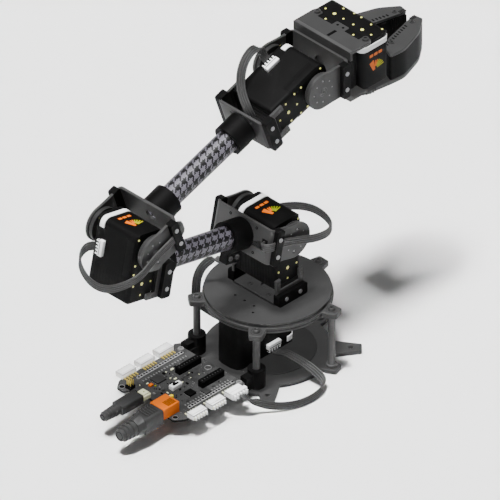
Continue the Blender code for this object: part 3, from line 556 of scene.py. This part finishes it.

# The material of each kind of board part.
BOARD_LOOKS = {"black": BLACK, "white": WHITE, "clear": CLEAR, "gold": GOLD, "cream": CREAM, "steel": STEEL,
               "grey": DULL_STEEL, "lamp": LAMP_YELLOW, "orange": ORANGE, "lime": MARK_GREEN,
               "pale": PALE_GREY}


# ---- camera, light and floor ----
def set_camera():
    """A parallel view from the near left, a true isometric."""
    data = bpy.data.cameras.new("camera")
    data.type = "ORTHO"
    data.ortho_scale = VIEW_WIDTH
    camera = add_object("camera", data)
    back = Vector((-1, -1, 1)).normalized()
    camera.location = Vector(VIEW_AIM) + back * VIEW_DISTANCE
    camera.rotation_euler = back.to_track_quat("Z", "Y").to_euler()
    bpy.context.scene.camera = camera


def add_sun(name, place, **settings):
    """A sun that shines from a place towards the origin."""
    data = bpy.data.lights.new(name, "SUN")
    data.energy = SUN_STRENGTHS[name]
    for key, value in settings.items():
        setattr(data, key, value)
    lamp = add_object(name, data)
    lamp.location = place
    lamp.rotation_euler = Vector(place).to_track_quat("Z", "Y").to_euler()
    return lamp


def set_studio():
    """A key for the object and one for the floor, two fills that spare the floor, and a dim white room."""
    world = bpy.data.worlds.new("studio")
    world.use_nodes = True
    sky = world.node_tree.nodes["Background"]
    sky.inputs["Color"].default_value = (1, 1, 1, 1)
    sky.inputs["Strength"].default_value = ROOM_STRENGTH
    bpy.context.scene.world = world
    form = bmesh.new()
    bmesh.ops.create_grid(form, x_segments=8, y_segments=8, size=FLOOR_REACH)
    floor = as_object("floor", form)
    floor.location.z = -FLOOR_DROP
    floor.data.materials.append(white_floor())
    spread = math.radians(KEY_SPREAD)
    add_sun("overhead_key", OVERHEAD, angle=spread)
    floor_key = add_sun("floor_key", OVERHEAD, angle=spread)
    fills = [add_sun("overhead_fill", OVERHEAD, use_shadow=False),
             add_sun("near_fill", NEAR_LEFT, use_shadow=False)]
    only_floor = bpy.data.collections.new("floor_only")
    only_floor.objects.link(floor)
    floor_key.light_linking.receiver_collection = only_floor
    spared = bpy.data.collections.new("all_but_floor")
    spared.objects.link(floor)
    spared.collection_objects[0].light_linking.link_state = "EXCLUDE"
    for lamp in fills:
        lamp.light_linking.receiver_collection = spared


# ---- ribbon cables ----
def smooth_route(points, spacing):
    """A smooth curve through the route's points, read off at an even spacing."""
    knots = [Vector(points[0]) * 2 - Vector(points[1]), *map(Vector, points),
             Vector(points[-1]) * 2 - Vector(points[-2])]
    dense, steps = [], 16
    for before, start, end, after in zip(knots, knots[1:], knots[2:], knots[3:]):
        for step in range(steps):
            t = step / steps
            dense.append(0.5 * (2 * start + (end - before) * t
                                + (2 * before - 5 * start + 4 * end - after) * t * t
                                + (3 * start - before - 3 * end + after) * t ** 3))
    dense.append(knots[-2])
    route, run = [dense[0]], 0.0
    for last, here in zip(dense, dense[1:]):
        run += (here - last).length
        if run >= spacing:
            route.append(here)
            run = 0.0
    if (route[-1] - dense[-1]).length < spacing / 2:
        route.pop()
    return route + [dense[-1]]


def wire_section():
    """The ribbon's section: four round wires side by side, as distances across and up."""
    over = []
    for wire in range(WIRE_COUNT):
        middle = (wire - (WIRE_COUNT - 1) / 2) * 2 * WIRE_RADIUS
        for angle in (166, 130, 90, 50, 14):
            turn = math.radians(angle)
            over.append((middle + WIRE_RADIUS * math.cos(turn), WIRE_RADIUS * math.sin(turn)))
    return over + [(-a, -b) for a, b in over]


def lean_at(share, leans):
    """The direction across the ribbon at a share of its length."""
    for (start, first), (end, last) in zip(leans, leans[1:]):
        if share <= end:
            return Vector(first).lerp(Vector(last), (share - start) / (end - start))
    return Vector(leans[-1][1])


def ribbon(name, points, leans):
    """A flat four-wire ribbon along a route, and the line that it follows."""
    route = smooth_route([[value * MM for value in point] for point in points], RIBBON_STEP)
    section = wire_section()
    form = bmesh.new()
    loops = []
    for index, here in enumerate(route):
        ahead, behind = route[min(index + 1, len(route) - 1)], route[max(index - 1, 0)]
        way = (ahead - behind).normalized()
        across = lean_at(index / (len(route) - 1), leans)
        across = (across - way * across.dot(way)).normalized()
        up = way.cross(across)
        loops.append([form.verts.new(here + across * a + up * b) for a, b in section])
    for before, loop in zip(loops, loops[1:]):
        skin(form, before, loop)
    form.faces.new(loops[0])
    form.faces.new(list(reversed(loops[-1])))
    bmesh.ops.recalc_face_normals(form, faces=form.faces)
    piece = as_object(name, form)
    dress(piece, RIBBON, 50)
    return piece, route


def declare(node):
    """Hide the CAD shape of a ribbon that is drawn anew."""
    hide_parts(node)


def hang_cables():
    """The five ribbons: two ride on one body, and three that cross a joint stay where they are drawn."""
    piece, route = ribbon("board_ribbon", BOARD_CABLE,
                          [(0, (1, 0, 0)), (0.18, (0.9, 0, 0.35)), (0.42, (0.3, 0, 1)), (0.5, UP),
                           (0.82, UP), (0.95, (-0.75, 0, 0.4)), (1, (-1, 0, 0))])
    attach(piece, "base")
    declare("board_cable")
    piece, route = ribbon("turret_ribbon", TURRET_CABLE,
                          [(0, (1, 0, 0)), (0.25, (0.75, -0.6, 0)), (0.65, (0.7, -0.7, 0)),
                           (0.8, (1, -0.2, 0)), (0.93, (0.7, 0, 0.7)), (1, UP)])
    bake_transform(piece)
    declare("turret_cable")
    piece, route = ribbon("shoulder_ribbon", SHOULDER_CABLE, [(0, UP), (1, UP)])
    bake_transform(piece)
    declare("shoulder_cable")
    piece, route = ribbon("elbow_ribbon", ELBOW_CABLE,
                          [(0, (0.2, 0, 1)), (0.4, (-0.1, 0, 1)), (1, (-0.33, 0, 0.94))])
    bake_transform(piece)
    declare("elbow_cable")
    piece, route = ribbon("wrist_ribbon", WRIST_CABLE,
                          [(0, (0.95, 0, 0.32)), (0.3, (0.3, -0.8, -0.5)), (0.6, (0.7, -0.65, 0)),
                           (1, (0.76, -0.65, 0.1))])
    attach(piece, "forearm")
    declare("wrist_cable")


# ---- servo modules ----
def servo_screws(form, hubs_open_above):
    """The screws on both shaft faces: a cross round the tail hub, two pairs between the hubs, two corners."""
    reach = 8.5
    cross = [(reach, 0), (-reach, 0), (0, reach), (0, -reach)]
    spots = [(x, z - HUB_PITCH) for x, z in cross]
    spots += [(9.75, -17.3), (-9.75, -17.3), (9.75, -10.6), (-9.75, -10.6), (10, 9), (-10, 9)]
    for side in (-1, 1):
        face = side * SERVO_DEPTH / 2
        shown, centres = spots, [-HUB_PITCH]
        if hubs_open_above and side > 0:
            shown = [(x, z) for x, z in spots if x > 0 or z < -HUB_PITCH + 9] + cross
            shown = [(x, z) for x, z in shown if (x, z) != (-9.75, -17.3)]
            centres = [-HUB_PITCH, 0]
        for x, z in shown:
            rod(form, (x, face - side * 0.3, z), (x, face + side * 0.12, z), 0.78, 0.7, 14)
        for z in centres:
            rod(form, (0, face - side * 0.3, z), (0, face + side * 0.14, z), 1.35, 1.2, 20)


def servo_flutes(form, ribbed, square_tail):
    """Fine ribs over the tail half of both wide faces on some modules, and parting ribs on all."""
    half = SERVO_WIDTH / 2
    for side in (-1, 1):
        for index in range(11 if ribbed else 0):
            y = -13.5 + 2.7 * index
            side_block(form, side, "X", (half - 0.3, y - 0.5, -36.5), (half + 0.14, y + 0.5, -20.5), 0.12)
        side_block(form, side, "X", (half - 0.3, -10.6, -20.0), (half + 0.16, -10.0, 8.0), 0.12)
        side_block(form, side, "X", (half - 0.3, -17.6, -19.6), (half + 0.16, -11.4, 7.0), 0.15)
    for index in range(5 if square_tail else 0):
        x = -8 + 4 * index
        block(form, (x - 0.6, -15, -39.78), (x + 0.6, 15, -39.2), 0.2)


def servo_sockets(form, gaps):
    """The white four-pin plugs in both side sockets, with their row of latching teeth."""
    half = SERVO_WIDTH / 2
    for side in (-1, 1):
        side_block(form, side, "X", (half - 0.2, 7.6, -14.4), (half + 2.7, 11.4, -2.6), 0.25)
        for index in range(5):
            z = -13.4 + 2.45 * index
            side_block(form, side, "X", (half + 0.2, 11.2, z - 0.5), (half + 2.6, 13.4, z + 0.5), 0.12)
        side_block(gaps, side, "X", (half + 2.5, 9.9, -13.6), (half + 2.8, 10.4, -3.4), 0.06)


def servo_mark(orange, lime):
    """A plain two-colour mark on the label end: three dashes over a wedge and a fan of rays."""
    low, high = SERVO_HEAD - 0.05, SERVO_HEAD + 0.1
    for x in (-4.2, 0.0, 4.2):
        dash = [(x - 1.6, 4.6), (x + 1.6, 4.6), (x + 1.6, 6.8), (x - 1.6, 6.8)]
        slab(orange, rounded(dash, 0.4), low, high)
    slab(orange, rounded([(-6.0, -0.2), (-2.0, 1.6), (-0.6, -6.6), (-2.6, -7.2)], 0.5), low, high)
    root = Vector((-1.0, -6.4))
    for index in range(6):
        angle = math.radians(12 + 14 * index)
        way = Vector((math.cos(angle), math.sin(angle)))
        ray = stroke(root + way * 2.2, root + way * (8.4 - 0.3 * index), 0.95)
        slab(lime if index < 4 else orange, ray, low, high + 0.01)


def dress_servos():
    for name, (place, body) in SERVOS.items():
        finished(f"{name}_servo_case", CASE, 0.45)
        finished(f"{name}_servo_lens", WHITE, 0.12)
        form = bmesh.new()
        servo_screws(form, name == "gripper")
        settle(f"{name}_servo_screws", form, place, PALE_BRASS, body)
        form = bmesh.new()
        servo_flutes(form, name in ("shoulder", "elbow"), name != "base")
        settle(f"{name}_servo_flutes", form, place, CASE, body)
        if name != "gripper":
            form, gaps = bmesh.new(), bmesh.new()
            servo_sockets(form, gaps)
            settle(f"{name}_servo_plugs", form, place, WHITE, body)
            settle(f"{name}_servo_plug_gaps", gaps, place, BLACK, body)
        orange, lime = bmesh.new(), bmesh.new()
        servo_mark(orange, lime)
        settle(f"{name}_servo_mark", orange, place, MARK_ORANGE, body)
        settle(f"{name}_servo_fan", lime, place, MARK_GREEN, body)


# ---- brackets ----
def clip(black, steel, face, outward, low, high, screw_z):
    """A black strain-relief bar that wraps a bracket's side from edge to edge, with two screws."""
    outer = face + outward * 3.3
    near, far = sorted((face - outward * 2.2, outer))
    middle = (near + far) / 2
    outline = rounded([(-13.5, low), (13.5, low), (13.5, high), (-13.5, high)], 1.6)
    slab(black, outline, near, far, "Y")
    for x in (-6.5, 6.5):
        rod(steel, (x, middle, screw_z), (x, outer + outward * 0.6, screw_z), 1.8, 1.55, 20, 0.5, 0.2)


def yoke_details(black, steel, dull, dots):
    """Cheek screws, the centre screw in its ring, and the clips beside the web."""
    face = YOKE_SPAN / 2
    for side in (-1, 1):
        for index in range(8):
            angle = math.tau * index / 8
            x, z = 8.4 * math.cos(angle), 8.4 * math.sin(angle)
            rod(dots, (x, side * (face - 0.6), z), (x, side * (face + 0.15), z), 0.6, 0.5, 14)
        rod(dull, (0, side * (face - 1.5), 0), (0, side * (face + 0.35), 0), 2.35, 2.1, 24, 1.15, 0.9)
        ring(dull, (0, side * (face + 0.02), 0), (0, 1, 0), 3.3, 0.22)
        clip(black, steel, side * face, side, 16.2, 23.0, 19.6)
    for x in (-9.4, 9.4):
        for y in (-12.5, 12.5):
            rod(black, (x, y, BRACKET_REACH - 0.4), (x, y, BRACKET_REACH + 0.25), 1.2, 1.05, 16, 0.5, 0.4)
    block(black, (-4.6, -24.0, BRACKET_REACH - 0.3), (4.6, -19.0, BRACKET_REACH + 0.12), 0.1)


def cradle_details(black, steel, dull):
    """The clips beside the web and the screws through it."""
    face = SERVO_DEPTH / 2 + 2.3
    for side in (-1, 1):
        clip(black, steel, side * face, side, -24.5, -15.5, -20.0)
        side_block(black, side, "Y", (-12.6, face - 2.15, -16.0), (12.6, face - 1.1, -10.5), 0.1)
        for x in (-10.6, 10.6):
            rod(dull, (x, side * (face - 0.5), -8.0), (x, side * (face + 0.25), -8.0), 1.1, 1.0, 16, 0.5, 0.4)
    for x in (-8, 8):
        for y in (-9, 9):
            rod(dull, (x, y, -BRACKET_REACH + 2.2), (x, y, -BRACKET_REACH + 2.7), 1.9, 1.7, 18, 0.8, 0.4)


def dress_brackets():
    for name, (place, body) in YOKES.items():
        finished(f"{name}_yoke", PLATE, 0.3)
        for part in ("horn", "idler"):
            finished(f"{name}_{part}", DARK_PLATE, 0.35)
        black, steel, dull, dots = bmesh.new(), bmesh.new(), bmesh.new(), bmesh.new()
        yoke_details(black, steel, dull, dots)
        settle(f"{name}_yoke_clips", black, place, BLACK, body, 0.3)
        settle(f"{name}_yoke_clip_screws", steel, place, STEEL, body)
        settle(f"{name}_yoke_screws", dull, place, DULL_STEEL, body)
        settle(f"{name}_yoke_dots", dots, place, DOT_STEEL, body)
    for name, (place, body) in CRADLES.items():
        finished(f"{name}_cradle", PLATE, 0.3)
        black, steel, dull = bmesh.new(), bmesh.new(), bmesh.new()
        cradle_details(black, steel, dull)
        settle(f"{name}_cradle_clips", black, place, BLACK, body, 0.3)
        settle(f"{name}_cradle_clip_screws", steel, place, STEEL, body)
        settle(f"{name}_cradle_screws", dull, place, DULL_STEEL, body)


# ---- tube links ----
def carbon_tube(name, node, matrix, body, seam):
    """The braided tube, in its link's own frame so that the weave runs round it."""
    low, high = BRACKET_REACH + 1, LINK_LENGTH - BRACKET_REACH - 1
    form = bmesh.new()
    rings = []
    for radius, height in ((TUBE_RADIUS, low), (TUBE_RADIUS, high), (TUBE_BORE, high), (TUBE_BORE, low)):
        rings.append([form.verts.new(Vector((x, y, height)) * MM) for x, y in circle((0, 0), radius, 64)])
    for index, loop in enumerate(rings):
        skin(form, rings[index - 1], loop)
    bmesh.ops.recalc_face_normals(form, faces=form.faces)
    piece = as_object(name, form)
    piece.matrix_world = in_metres(matrix)
    dress(piece, woven_carbon(f"{name}_weave", seam))
    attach(piece, body)
    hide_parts(node)


def pinch_screws(form, low, lug_side, lug_reach):
    """The two pinch screws of one tube clamp, seen from both sides of its lug."""
    x = lug_side * (lug_reach - 4.2)
    for z in (low + 5, low + CLAMP_LENGTH - 5):
        for side in (-1, 1):
            rod(form, (x, side * 3.4, z), (x, side * 4.4, z), 1.9, 1.7, 20, 1.0, 0.6)


def dress_links():
    carbon_tube("upper_arm_braid", "shoulder_elbow_tube", UPPER_ARM, "upper_arm", -62)
    carbon_tube("forearm_braid", "forearm_wrist_tube", FOREARM, "forearm", -112)
    for near, far, matrix, body, lug_side, lug_reach in (
            ("shoulder", "elbow", UPPER_ARM, "upper_arm", -1, 19.5),
            ("forearm", "wrist", FOREARM, "forearm", 1, 14.4)):
        for end in (near, far):
            finished(f"{end}_tube_clamp", BLACK, 0.5)
        form = bmesh.new()
        start = BRACKET_REACH + CLAMP_GAP
        for low in (start, LINK_LENGTH - start - CLAMP_LENGTH):
            pinch_screws(form, low, lug_side, lug_reach)
        settle(f"{near}_{far}_pinch_screws", form, matrix, DULL_STEEL, body)


# ---- base ----
def dress_base():
    """The plates, posts, bolts and board clamps, with their seams and recesses."""
    for node in ("base_plate", "top_plate", "turntable"):
        finished(node, PLATE, 0.3)
    finished("base_mat", DARK_PLATE, 0.2)
    finished("base_horn", DARK_PLATE, 0.3)
    for index in range(len(POST_ANGLES)):
        finished(f"post_{index + 1}", POST, 0.2)
        finished(f"post_bolt_{index + 1}", DULL_STEEL, 0.2)
    for side in ("near", "far"):
        finished(f"board_clamp_{side}", BLACK, 0.6)
    seams = bmesh.new()
    for height, radius, thickness in ((47.6, 44.5, 0.16), (1.5, 44.45, 0.12)):
        ring(seams, (0, 0, height), UP, radius, thickness, 96)
    settle("base_seams", seams, WORLD, BLACK, "base")
    seams = bmesh.new()
    ring(seams, (0, 0, 51.2), UP, 43.5, 0.16, 96)
    settle("turntable_seam", seams, WORLD, BLACK, "turret")
    recess, heads = bmesh.new(), bmesh.new()
    for angle in POST_ANGLES:
        turn = math.radians(angle)
        x, y = POST_AT * math.cos(turn), POST_AT * math.sin(turn)
        ring(recess, (x, y, 49.62), UP, 3.9, 0.22, 32)
        rod(heads, (x, y, 2.9), (x, y, 3.1), 4.3, 4.1, 28)
    settle("post_recesses", recess, WORLD, DARK_PLATE, "base")
    settle("post_washers", heads, WORLD, DULL_STEEL, "base")
    screws = bmesh.new()
    for angle in range(15, 375, 60):
        turn = math.radians(angle)
        x, y = 19.5 * math.cos(turn), 19.5 * math.sin(turn)
        rod(screws, (x, y, 45.7), (x, y, 45.2), 1.6, 1.4, 18, 0.7, 0.3)
    settle("ring_plate_screws", screws, WORLD, DULL_STEEL, "base")


# ---- controller board ----
def board_port(body, pins, x, side, plugged):
    """A side-entry four-pin port; the plugged one carries its white plug with a row of teeth."""
    def add(form, middle, half, reach, heights, soft):
        side_block(form, side, "Y", (middle - half, reach[0], heights[0]),
                   (middle + half, reach[1], heights[1]), soft)
    add(body, x, 6.6, (30.8, 37.2), (BOARD_HIGH, 18.2), 0.25)
    add(body, x, 6.0, (31.8, 35.6), (18.0, 18.9), 0.2)
    for index in range(5):
        along = x - 5.0 + 2.5 * index
        add(pins, along, 0.35, (27.4, 31.2), (BOARD_HIGH, 15.4), 0.1)
        add(body, along, 0.45, (37.0, 38.8), (14.6, 17.2), 0.12)
        add(pins, along, 0.9, (36.9, 37.8), (14.9, 16.8), 0.1)
    if plugged:
        add(body, x, 6.9, (36.6, 39.6), (14.8, 19.6), 0.3)
        for index in range(5):
            add(body, x - 5.4 + 2.7 * index, 0.6, (39.3, 41.4), (15.0, 18.6), 0.15)


def port_rim(form, x, side):
    """A fine grey line round the top of a port."""
    near, far = sorted((side * 30.7, side * 37.3))
    for low, high in (((x - 6.7, near), (x + 6.7, near + 0.4)), ((x - 6.7, far - 0.4), (x + 6.7, far)),
                      ((x - 6.7, near), (x - 6.3, far)), ((x + 6.3, near), (x + 6.7, far))):
        block(form, (*low, 17.8), (*high, 18.32), 0.05)


def board_parts():
    """Chips, headers, sockets and the small parts between them, one form for each material."""
    forms = {name: bmesh.new() for name in BOARD_LOOKS}
    for index, x in enumerate(PORT_PLACES):
        board_port(forms["white"], forms["cream"], x, -1, index == 0)
        board_port(forms["clear"], forms["gold"], x, 1, False)
        port_rim(forms["pale"], x, 1)
        port_rim(forms["pale"], x, -1)
    for side in (-1, 1):
        y = side * 24.3
        block(forms["pale"], (-100, y - 1.25, BOARD_HIGH - 0.2), (-57, y + 1.25, 15.6), 0.15)
        for index in range(17):
            x = -98.8 + HEADER_PITCH * index
            block(forms["black"], (x - 0.95, y - 0.85, 15.3), (x + 0.95, y + 0.85, 15.7), 0.05)
            block(forms["steel"], (x - 0.5, y - side * 4.2 - 0.7, BOARD_HIGH - 0.1),
                  (x + 0.5, y - side * 4.2 + 0.7, BOARD_HIGH + 0.12), 0.0)
    for y in RADIO_SOCKETS:
        block(forms["black"], (-77, y - 2.3, BOARD_HIGH - 0.2), (-56, y + 2.3, 19.4), 0.4)
        block(forms["black"], (-76, y - 2.5, BOARD_HIGH), (-57, y + 2.5, 16.2), 0.2)
        for index in range(8):
            x = -75.2 + 2.5 * index
            block(forms["grey"], (x - 0.4, y - 0.5, 19.1), (x + 0.4, y + 0.5, 19.46), 0.08)
    for kind, x, y, a, b, high in (("black", -87, -13, 3, 3, 16), ("grey", -78, -19, 2.5, 3, 15.7),
                                   ("grey", -91, 14, 4.2, 4.2, 15.8)):
        block(forms[kind], (x - a, y - b, BOARD_HIGH), (x + a, y + b, high), 0.2)
        for index in range(6):
            pad = y - b + 0.6 + index * (2 * b - 1.2) / 5
            block(forms["steel"], (x - a - 0.7, pad - 0.2, BOARD_HIGH - 0.1),
                  (x + a + 0.7, pad + 0.2, BOARD_HIGH + 0.3), 0.0)
    block(forms["black"], (-113.5, 18, BOARD_HIGH), (-108.5, 23, 17.2), 0.2)
    for index in range(6):
        x, y = -112.2 + 2.5 * (index % 2), 18.9 + 1.6 * (index // 2)
        block(forms["gold"], (x - 0.32, y - 0.32, 15.0), (x + 0.32, y + 0.32, 21.6), 0.1)
    block(forms["cream"], (-116, 2.6, BOARD_HIGH), (-108.8, 10.4, 18), 0.4)
    block(forms["cream"], (-115.1, 3.5, 17.8), (-109.7, 9.5, 19.2), 0.5)
    block(forms["lime"], (-112.8, 5.6, 19.0), (-112.0, 6.4, 19.5), 0.1)
    block(forms["white"], (-93.6, -3.1, BOARD_HIGH), (-84.4, 1.1, 17.7), 0.4)
    block(forms["black"], (-91.6, -2.0, 17.4), (-86.4, 0.0, 17.78), 0.1)
    block(forms["orange"], (-101.0, 11.0, BOARD_HIGH), (-98.0, 13.4, 15.9), 0.25)
    block(forms["lime"], (-98.0, 9.2, BOARD_HIGH), (-97.0, 10.4, 15.2), 0.15)
    rod(forms["lamp"], (-99.4, -7.6, BOARD_HIGH), (-99.4, -7.6, 16.6), 1.5, 1.2, 20)
    ring(forms["steel"], (-57.0, 0.0, BOARD_HIGH + 0.1), UP, 2.3, 0.35, 32)
    for side in (-1, 1):
        ring(forms["steel"], (-113.9, side * 25.5, BOARD_HIGH + 0.02), UP, 2.0, 0.16, 24)
        rod(forms["steel"], (-55.2, side * 27.8, 14.4), (-55.2, side * 27.8, 15.9), 2.3, 2.1, 24, 1.1, 0.8)
    scatter(forms)
    return forms


def scatter(forms):
    """The many small surface parts, scattered at random between the larger ones."""
    pick = random.Random(11)
    taken = [(-77.6, -55.4, -15.2, -9.8), (-77.6, -55.4, 6.8, 12.2), (-94.2, -83.8, -3.7, 1.7),
             (-91.4, -82.6, -16.6, -9.4), (-81.8, -74.2, -22.6, -15.4), (-96.4, -85.6, 9.2, 18.8),
             (-111.5, -107.8, 1.6, 11.4), (-123, -106.6, -24, -8.4), (-102, -97, 10, 14),
             (-61, -53, -4, 4)]
    for _ in range(SCATTER_TRIES):
        x = pick.uniform(-106, -58)
        y = pick.uniform(-18.6, 18.8)
        long, wide = pick.choice(((0.9, 0.45), (1.2, 0.6), (1.6, 0.8), (2.2, 1.3), (0.6, 0.6)))
        if pick.random() < 0.5:
            long, wide = wide, long
        if any(a - long < x < b + long and c - wide < y < d + wide for a, b, c, d in taken):
            continue
        taken.append((x - long, x + long, y - wide, y + wide))
        high = BOARD_HIGH + pick.choice((0.35, 0.5, 0.8))
        kind = pick.choice(("steel", "grey", "grey", "black", "cream"))
        block(forms[kind], (x - long / 2, y - wide / 2, BOARD_HIGH - 0.1),
              (x + long / 2, y + wide / 2, high), 0.0)


def dress_board():
    """The laminate with its dark edge and lug holes, and everything that stands on it."""
    form = bmesh.new()
    corners = [(-52, -31), (-52, 31), (-110, 32), (-117, 27), (-117, 21), (-110, 17), (-110, -17),
               (-117, -21), (-117, -27), (-110, -32)]
    outline = rounded(corners, [2, 2, 3, 3, 2, 2, 2, 2, 3, 3])
    slab(form, outline, BOARD_LOW, BOARD_HIGH)
    board = settle("board_laminate", form, WORLD, BOARD, "base", 0.1)
    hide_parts("controller_board")
    form = bmesh.new()
    slab(form, grown(outline, 0.22), BOARD_LOW, 14.1)
    settle("board_edge", form, WORLD, BLACK, "base")
    form = bmesh.new()
    for side in (-1, 1):
        rod(form, (-113.9, side * 25.5, 14.3), (-113.9, side * 25.5, BOARD_HIGH + 0.06), 1.7, 1.7, 24)
    settle("board_lug_holes", form, WORLD, BLACK, "base")
    for kind, form in board_parts().items():
        settle(f"board_{kind}_parts", form, WORLD, BOARD_LOOKS[kind], "base")
    finished("switch_slider", BLACK, 0.15)
    dress_jack_and_plugs()


def dress_jack_and_plugs():
    """The orange inlet with its window, and the two lead plugs with their open cable ends."""
    finished("power_jack", ORANGE, 0.5)
    low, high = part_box("power_jack")
    low, high = low / MM, high / MM
    form = bmesh.new()
    block(form, (high.x - 9.4, low.y + 1.4, high.z - 0.2), (high.x - 1.6, low.y + 7.6, high.z + 0.12), 0.1)
    for index in range(3):
        y = low.y + 2.6 + 1.6 * index
        block(form, (high.x - 8.0, y - 0.25, high.z), (high.x - 2.2, y + 0.25, high.z + 0.3), 0.08)
    settle("jack_window", form, WORLD, AMBER, "base")
    form = bmesh.new()
    for plug, radius in (("power_plug", 3.2), ("usb_plug", 2.1)):
        finished(plug, PLUG, 0.4)
        low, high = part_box(plug)
        y, z = (low.y + high.y) / 2 / MM, (low.z + high.z) / 2 / MM
        x = low.x / MM
        rod(form, (x + 0.5, y, z), (x - 0.08, y, z), radius, radius - 0.2, 28, radius - 0.6, 0.4)
    settle("plug_cable_holes", form, WORLD, BLACK, "base")
    grips = bmesh.new()
    low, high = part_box("power_plug")
    low, high = low / MM, high / MM
    for index in range(5):
        x = high.x - 3.5 - 2.3 * index
        block(grips, (x - 0.5, low.y + 3.0, high.z - 0.3), (x + 0.5, high.y - 3.0, high.z + 0.3), 0.2)
    settle("plug_grip_ribs", grips, WORLD, PLUG, "base")


# ---- gripper ----
def jaw_outline(side):
    """The curved finger in the hand's frame, as distances along its Y and Z."""
    corners = [(14.3, 12.5), (27, 13.8), (48, 6.6), (60.4, -2.8), (59.0, -10.2), (46.2, -6.9), (27.9, -2.6),
               (18.0, 4.0)]
    shape = rounded(corners, [1.5, 18, 24, 1.8, 1.8, 8, 2, 2])
    return [(side * (HUB_PITCH / 2 + out), JAW_PIVOT_REACH + forward) for forward, out in shape]


def jaw_details(plate, screws, ribs, side):
    """The finger's upper plate, its screws and slots, and the serrations along its gripping face."""
    slab(plate, grown(jaw_outline(side), 0.25), 3.2, 5.3, "X")
    start, end = Vector((19.0, 2.6)), Vector((46.0, -4.6))
    for index in range(11):
        forward, out = start.lerp(end, index / 10)
        y, z = side * (HUB_PITCH / 2 + out), JAW_PIVOT_REACH + forward
        low, high = sorted((y - side * 1.1, y + side * 1.3))
        block(ribs, (3.05, low, z - 0.55), (3.6, high, z + 0.55), 0.1)
    for index in range(26):
        angle = math.tau * index / 26
        y = side * HUB_PITCH / 2 + 10.6 * math.cos(angle)
        z = JAW_PIVOT_REACH + 10.6 * math.sin(angle)
        if side * y > HUB_PITCH / 2:
            rod(plate, (25.1, y, z), (27.7, y, z), 0.75, 0.75, 8)
    for y, z in ((side * 15.8, 76.6), (side * 8.3, 103.4)):
        rod(screws, (3.4, y, z), (2.6, y, z), 1.9, 1.7, 20, 1.0, 0.6)
    start, end = Vector((46.2, -6.9)), Vector((59.0, -10.2))
    for index in range(9):
        forward, out = start.lerp(end, (index + 0.5) / 9)
        y, z = side * (HUB_PITCH / 2 + out), JAW_PIVOT_REACH + forward
        block(ribs, (6.0, y - 0.45, z - 0.4), (24.0, y + 0.45, z + 0.4), 0.2)
    for index in range(5):
        z = 105.6 + 1.1 * index
        y = side * 5.2
        block(ribs, (3.0, y - 1.6, z - 0.28), (3.5, y + 1.6, z + 0.28), 0.1)


def frame_details(screws, dark, light):
    """The gripper frame's screws, slots and a painted highlight along the fold of its back."""
    for y in (-23, 23):
        rod(screws, (-18.8, y, 44.4), (-20.3, y, 44.4), 2.5, 2.3, 24, 1.3, 1.0)
        rod(screws, (21.0, y, 38.4), (22.0, y, 38.4), 2.3, 2.1, 24, 1.2, 0.8)
    for y in (-2.6, 2.6):
        rod(dark, (-18.9, y, 43.4), (-19.1, y, 43.4), 1.0, 0.9, 16)
    block(dark, (-16.5, -22.5, 28.2), (17.5, 22.5, 38.0), 4.0)
    block(dark, (-19.12, -2.6, 29.6), (-18.8, -0.4, 37.6), 0.1)
    # Painted highlight: a lighter strip of plate along the back's fold, where the bend catches the light.
    block(light, (-19.12, -26.4, 26.0), (-18.9, 26.4, 28.6), 0.1)


def dress_gripper():
    finished("gripper_frame", PLATE, 0.3)
    screws, dark, light = bmesh.new(), bmesh.new(), bmesh.new()
    frame_details(screws, dark, light)
    settle("gripper_frame_screws", screws, HAND, DULL_STEEL, "hand")
    settle("gripper_frame_slots", dark, HAND, BLACK, "hand")
    # The fold strip is a painted highlight.
    settle("gripper_frame_fold_highlight", light, HAND, FOLD_HIGHLIGHT, "hand")
    for side, name in ((-1, "near"), (1, "far")):
        finished(f"jaw_plate_{name}", PLATE, 0.2)
        finished(f"jaw_grip_{name}", BLACK, 0.5)
        plate, screws, ribs = bmesh.new(), bmesh.new(), bmesh.new()
        jaw_details(plate, screws, ribs, side)
        settle(f"jaw_cover_{name}", plate, HAND, PLATE, f"jaw_{name}", 0.3)
        settle(f"jaw_screws_{name}", screws, HAND, DULL_STEEL, f"jaw_{name}")
        settle(f"jaw_serrations_{name}", ribs, HAND, BLACK, f"jaw_{name}")


set_camera()
set_studio()
hang_cables()
dress_base()
dress_board()
dress_servos()
dress_brackets()
dress_links()
dress_gripper()
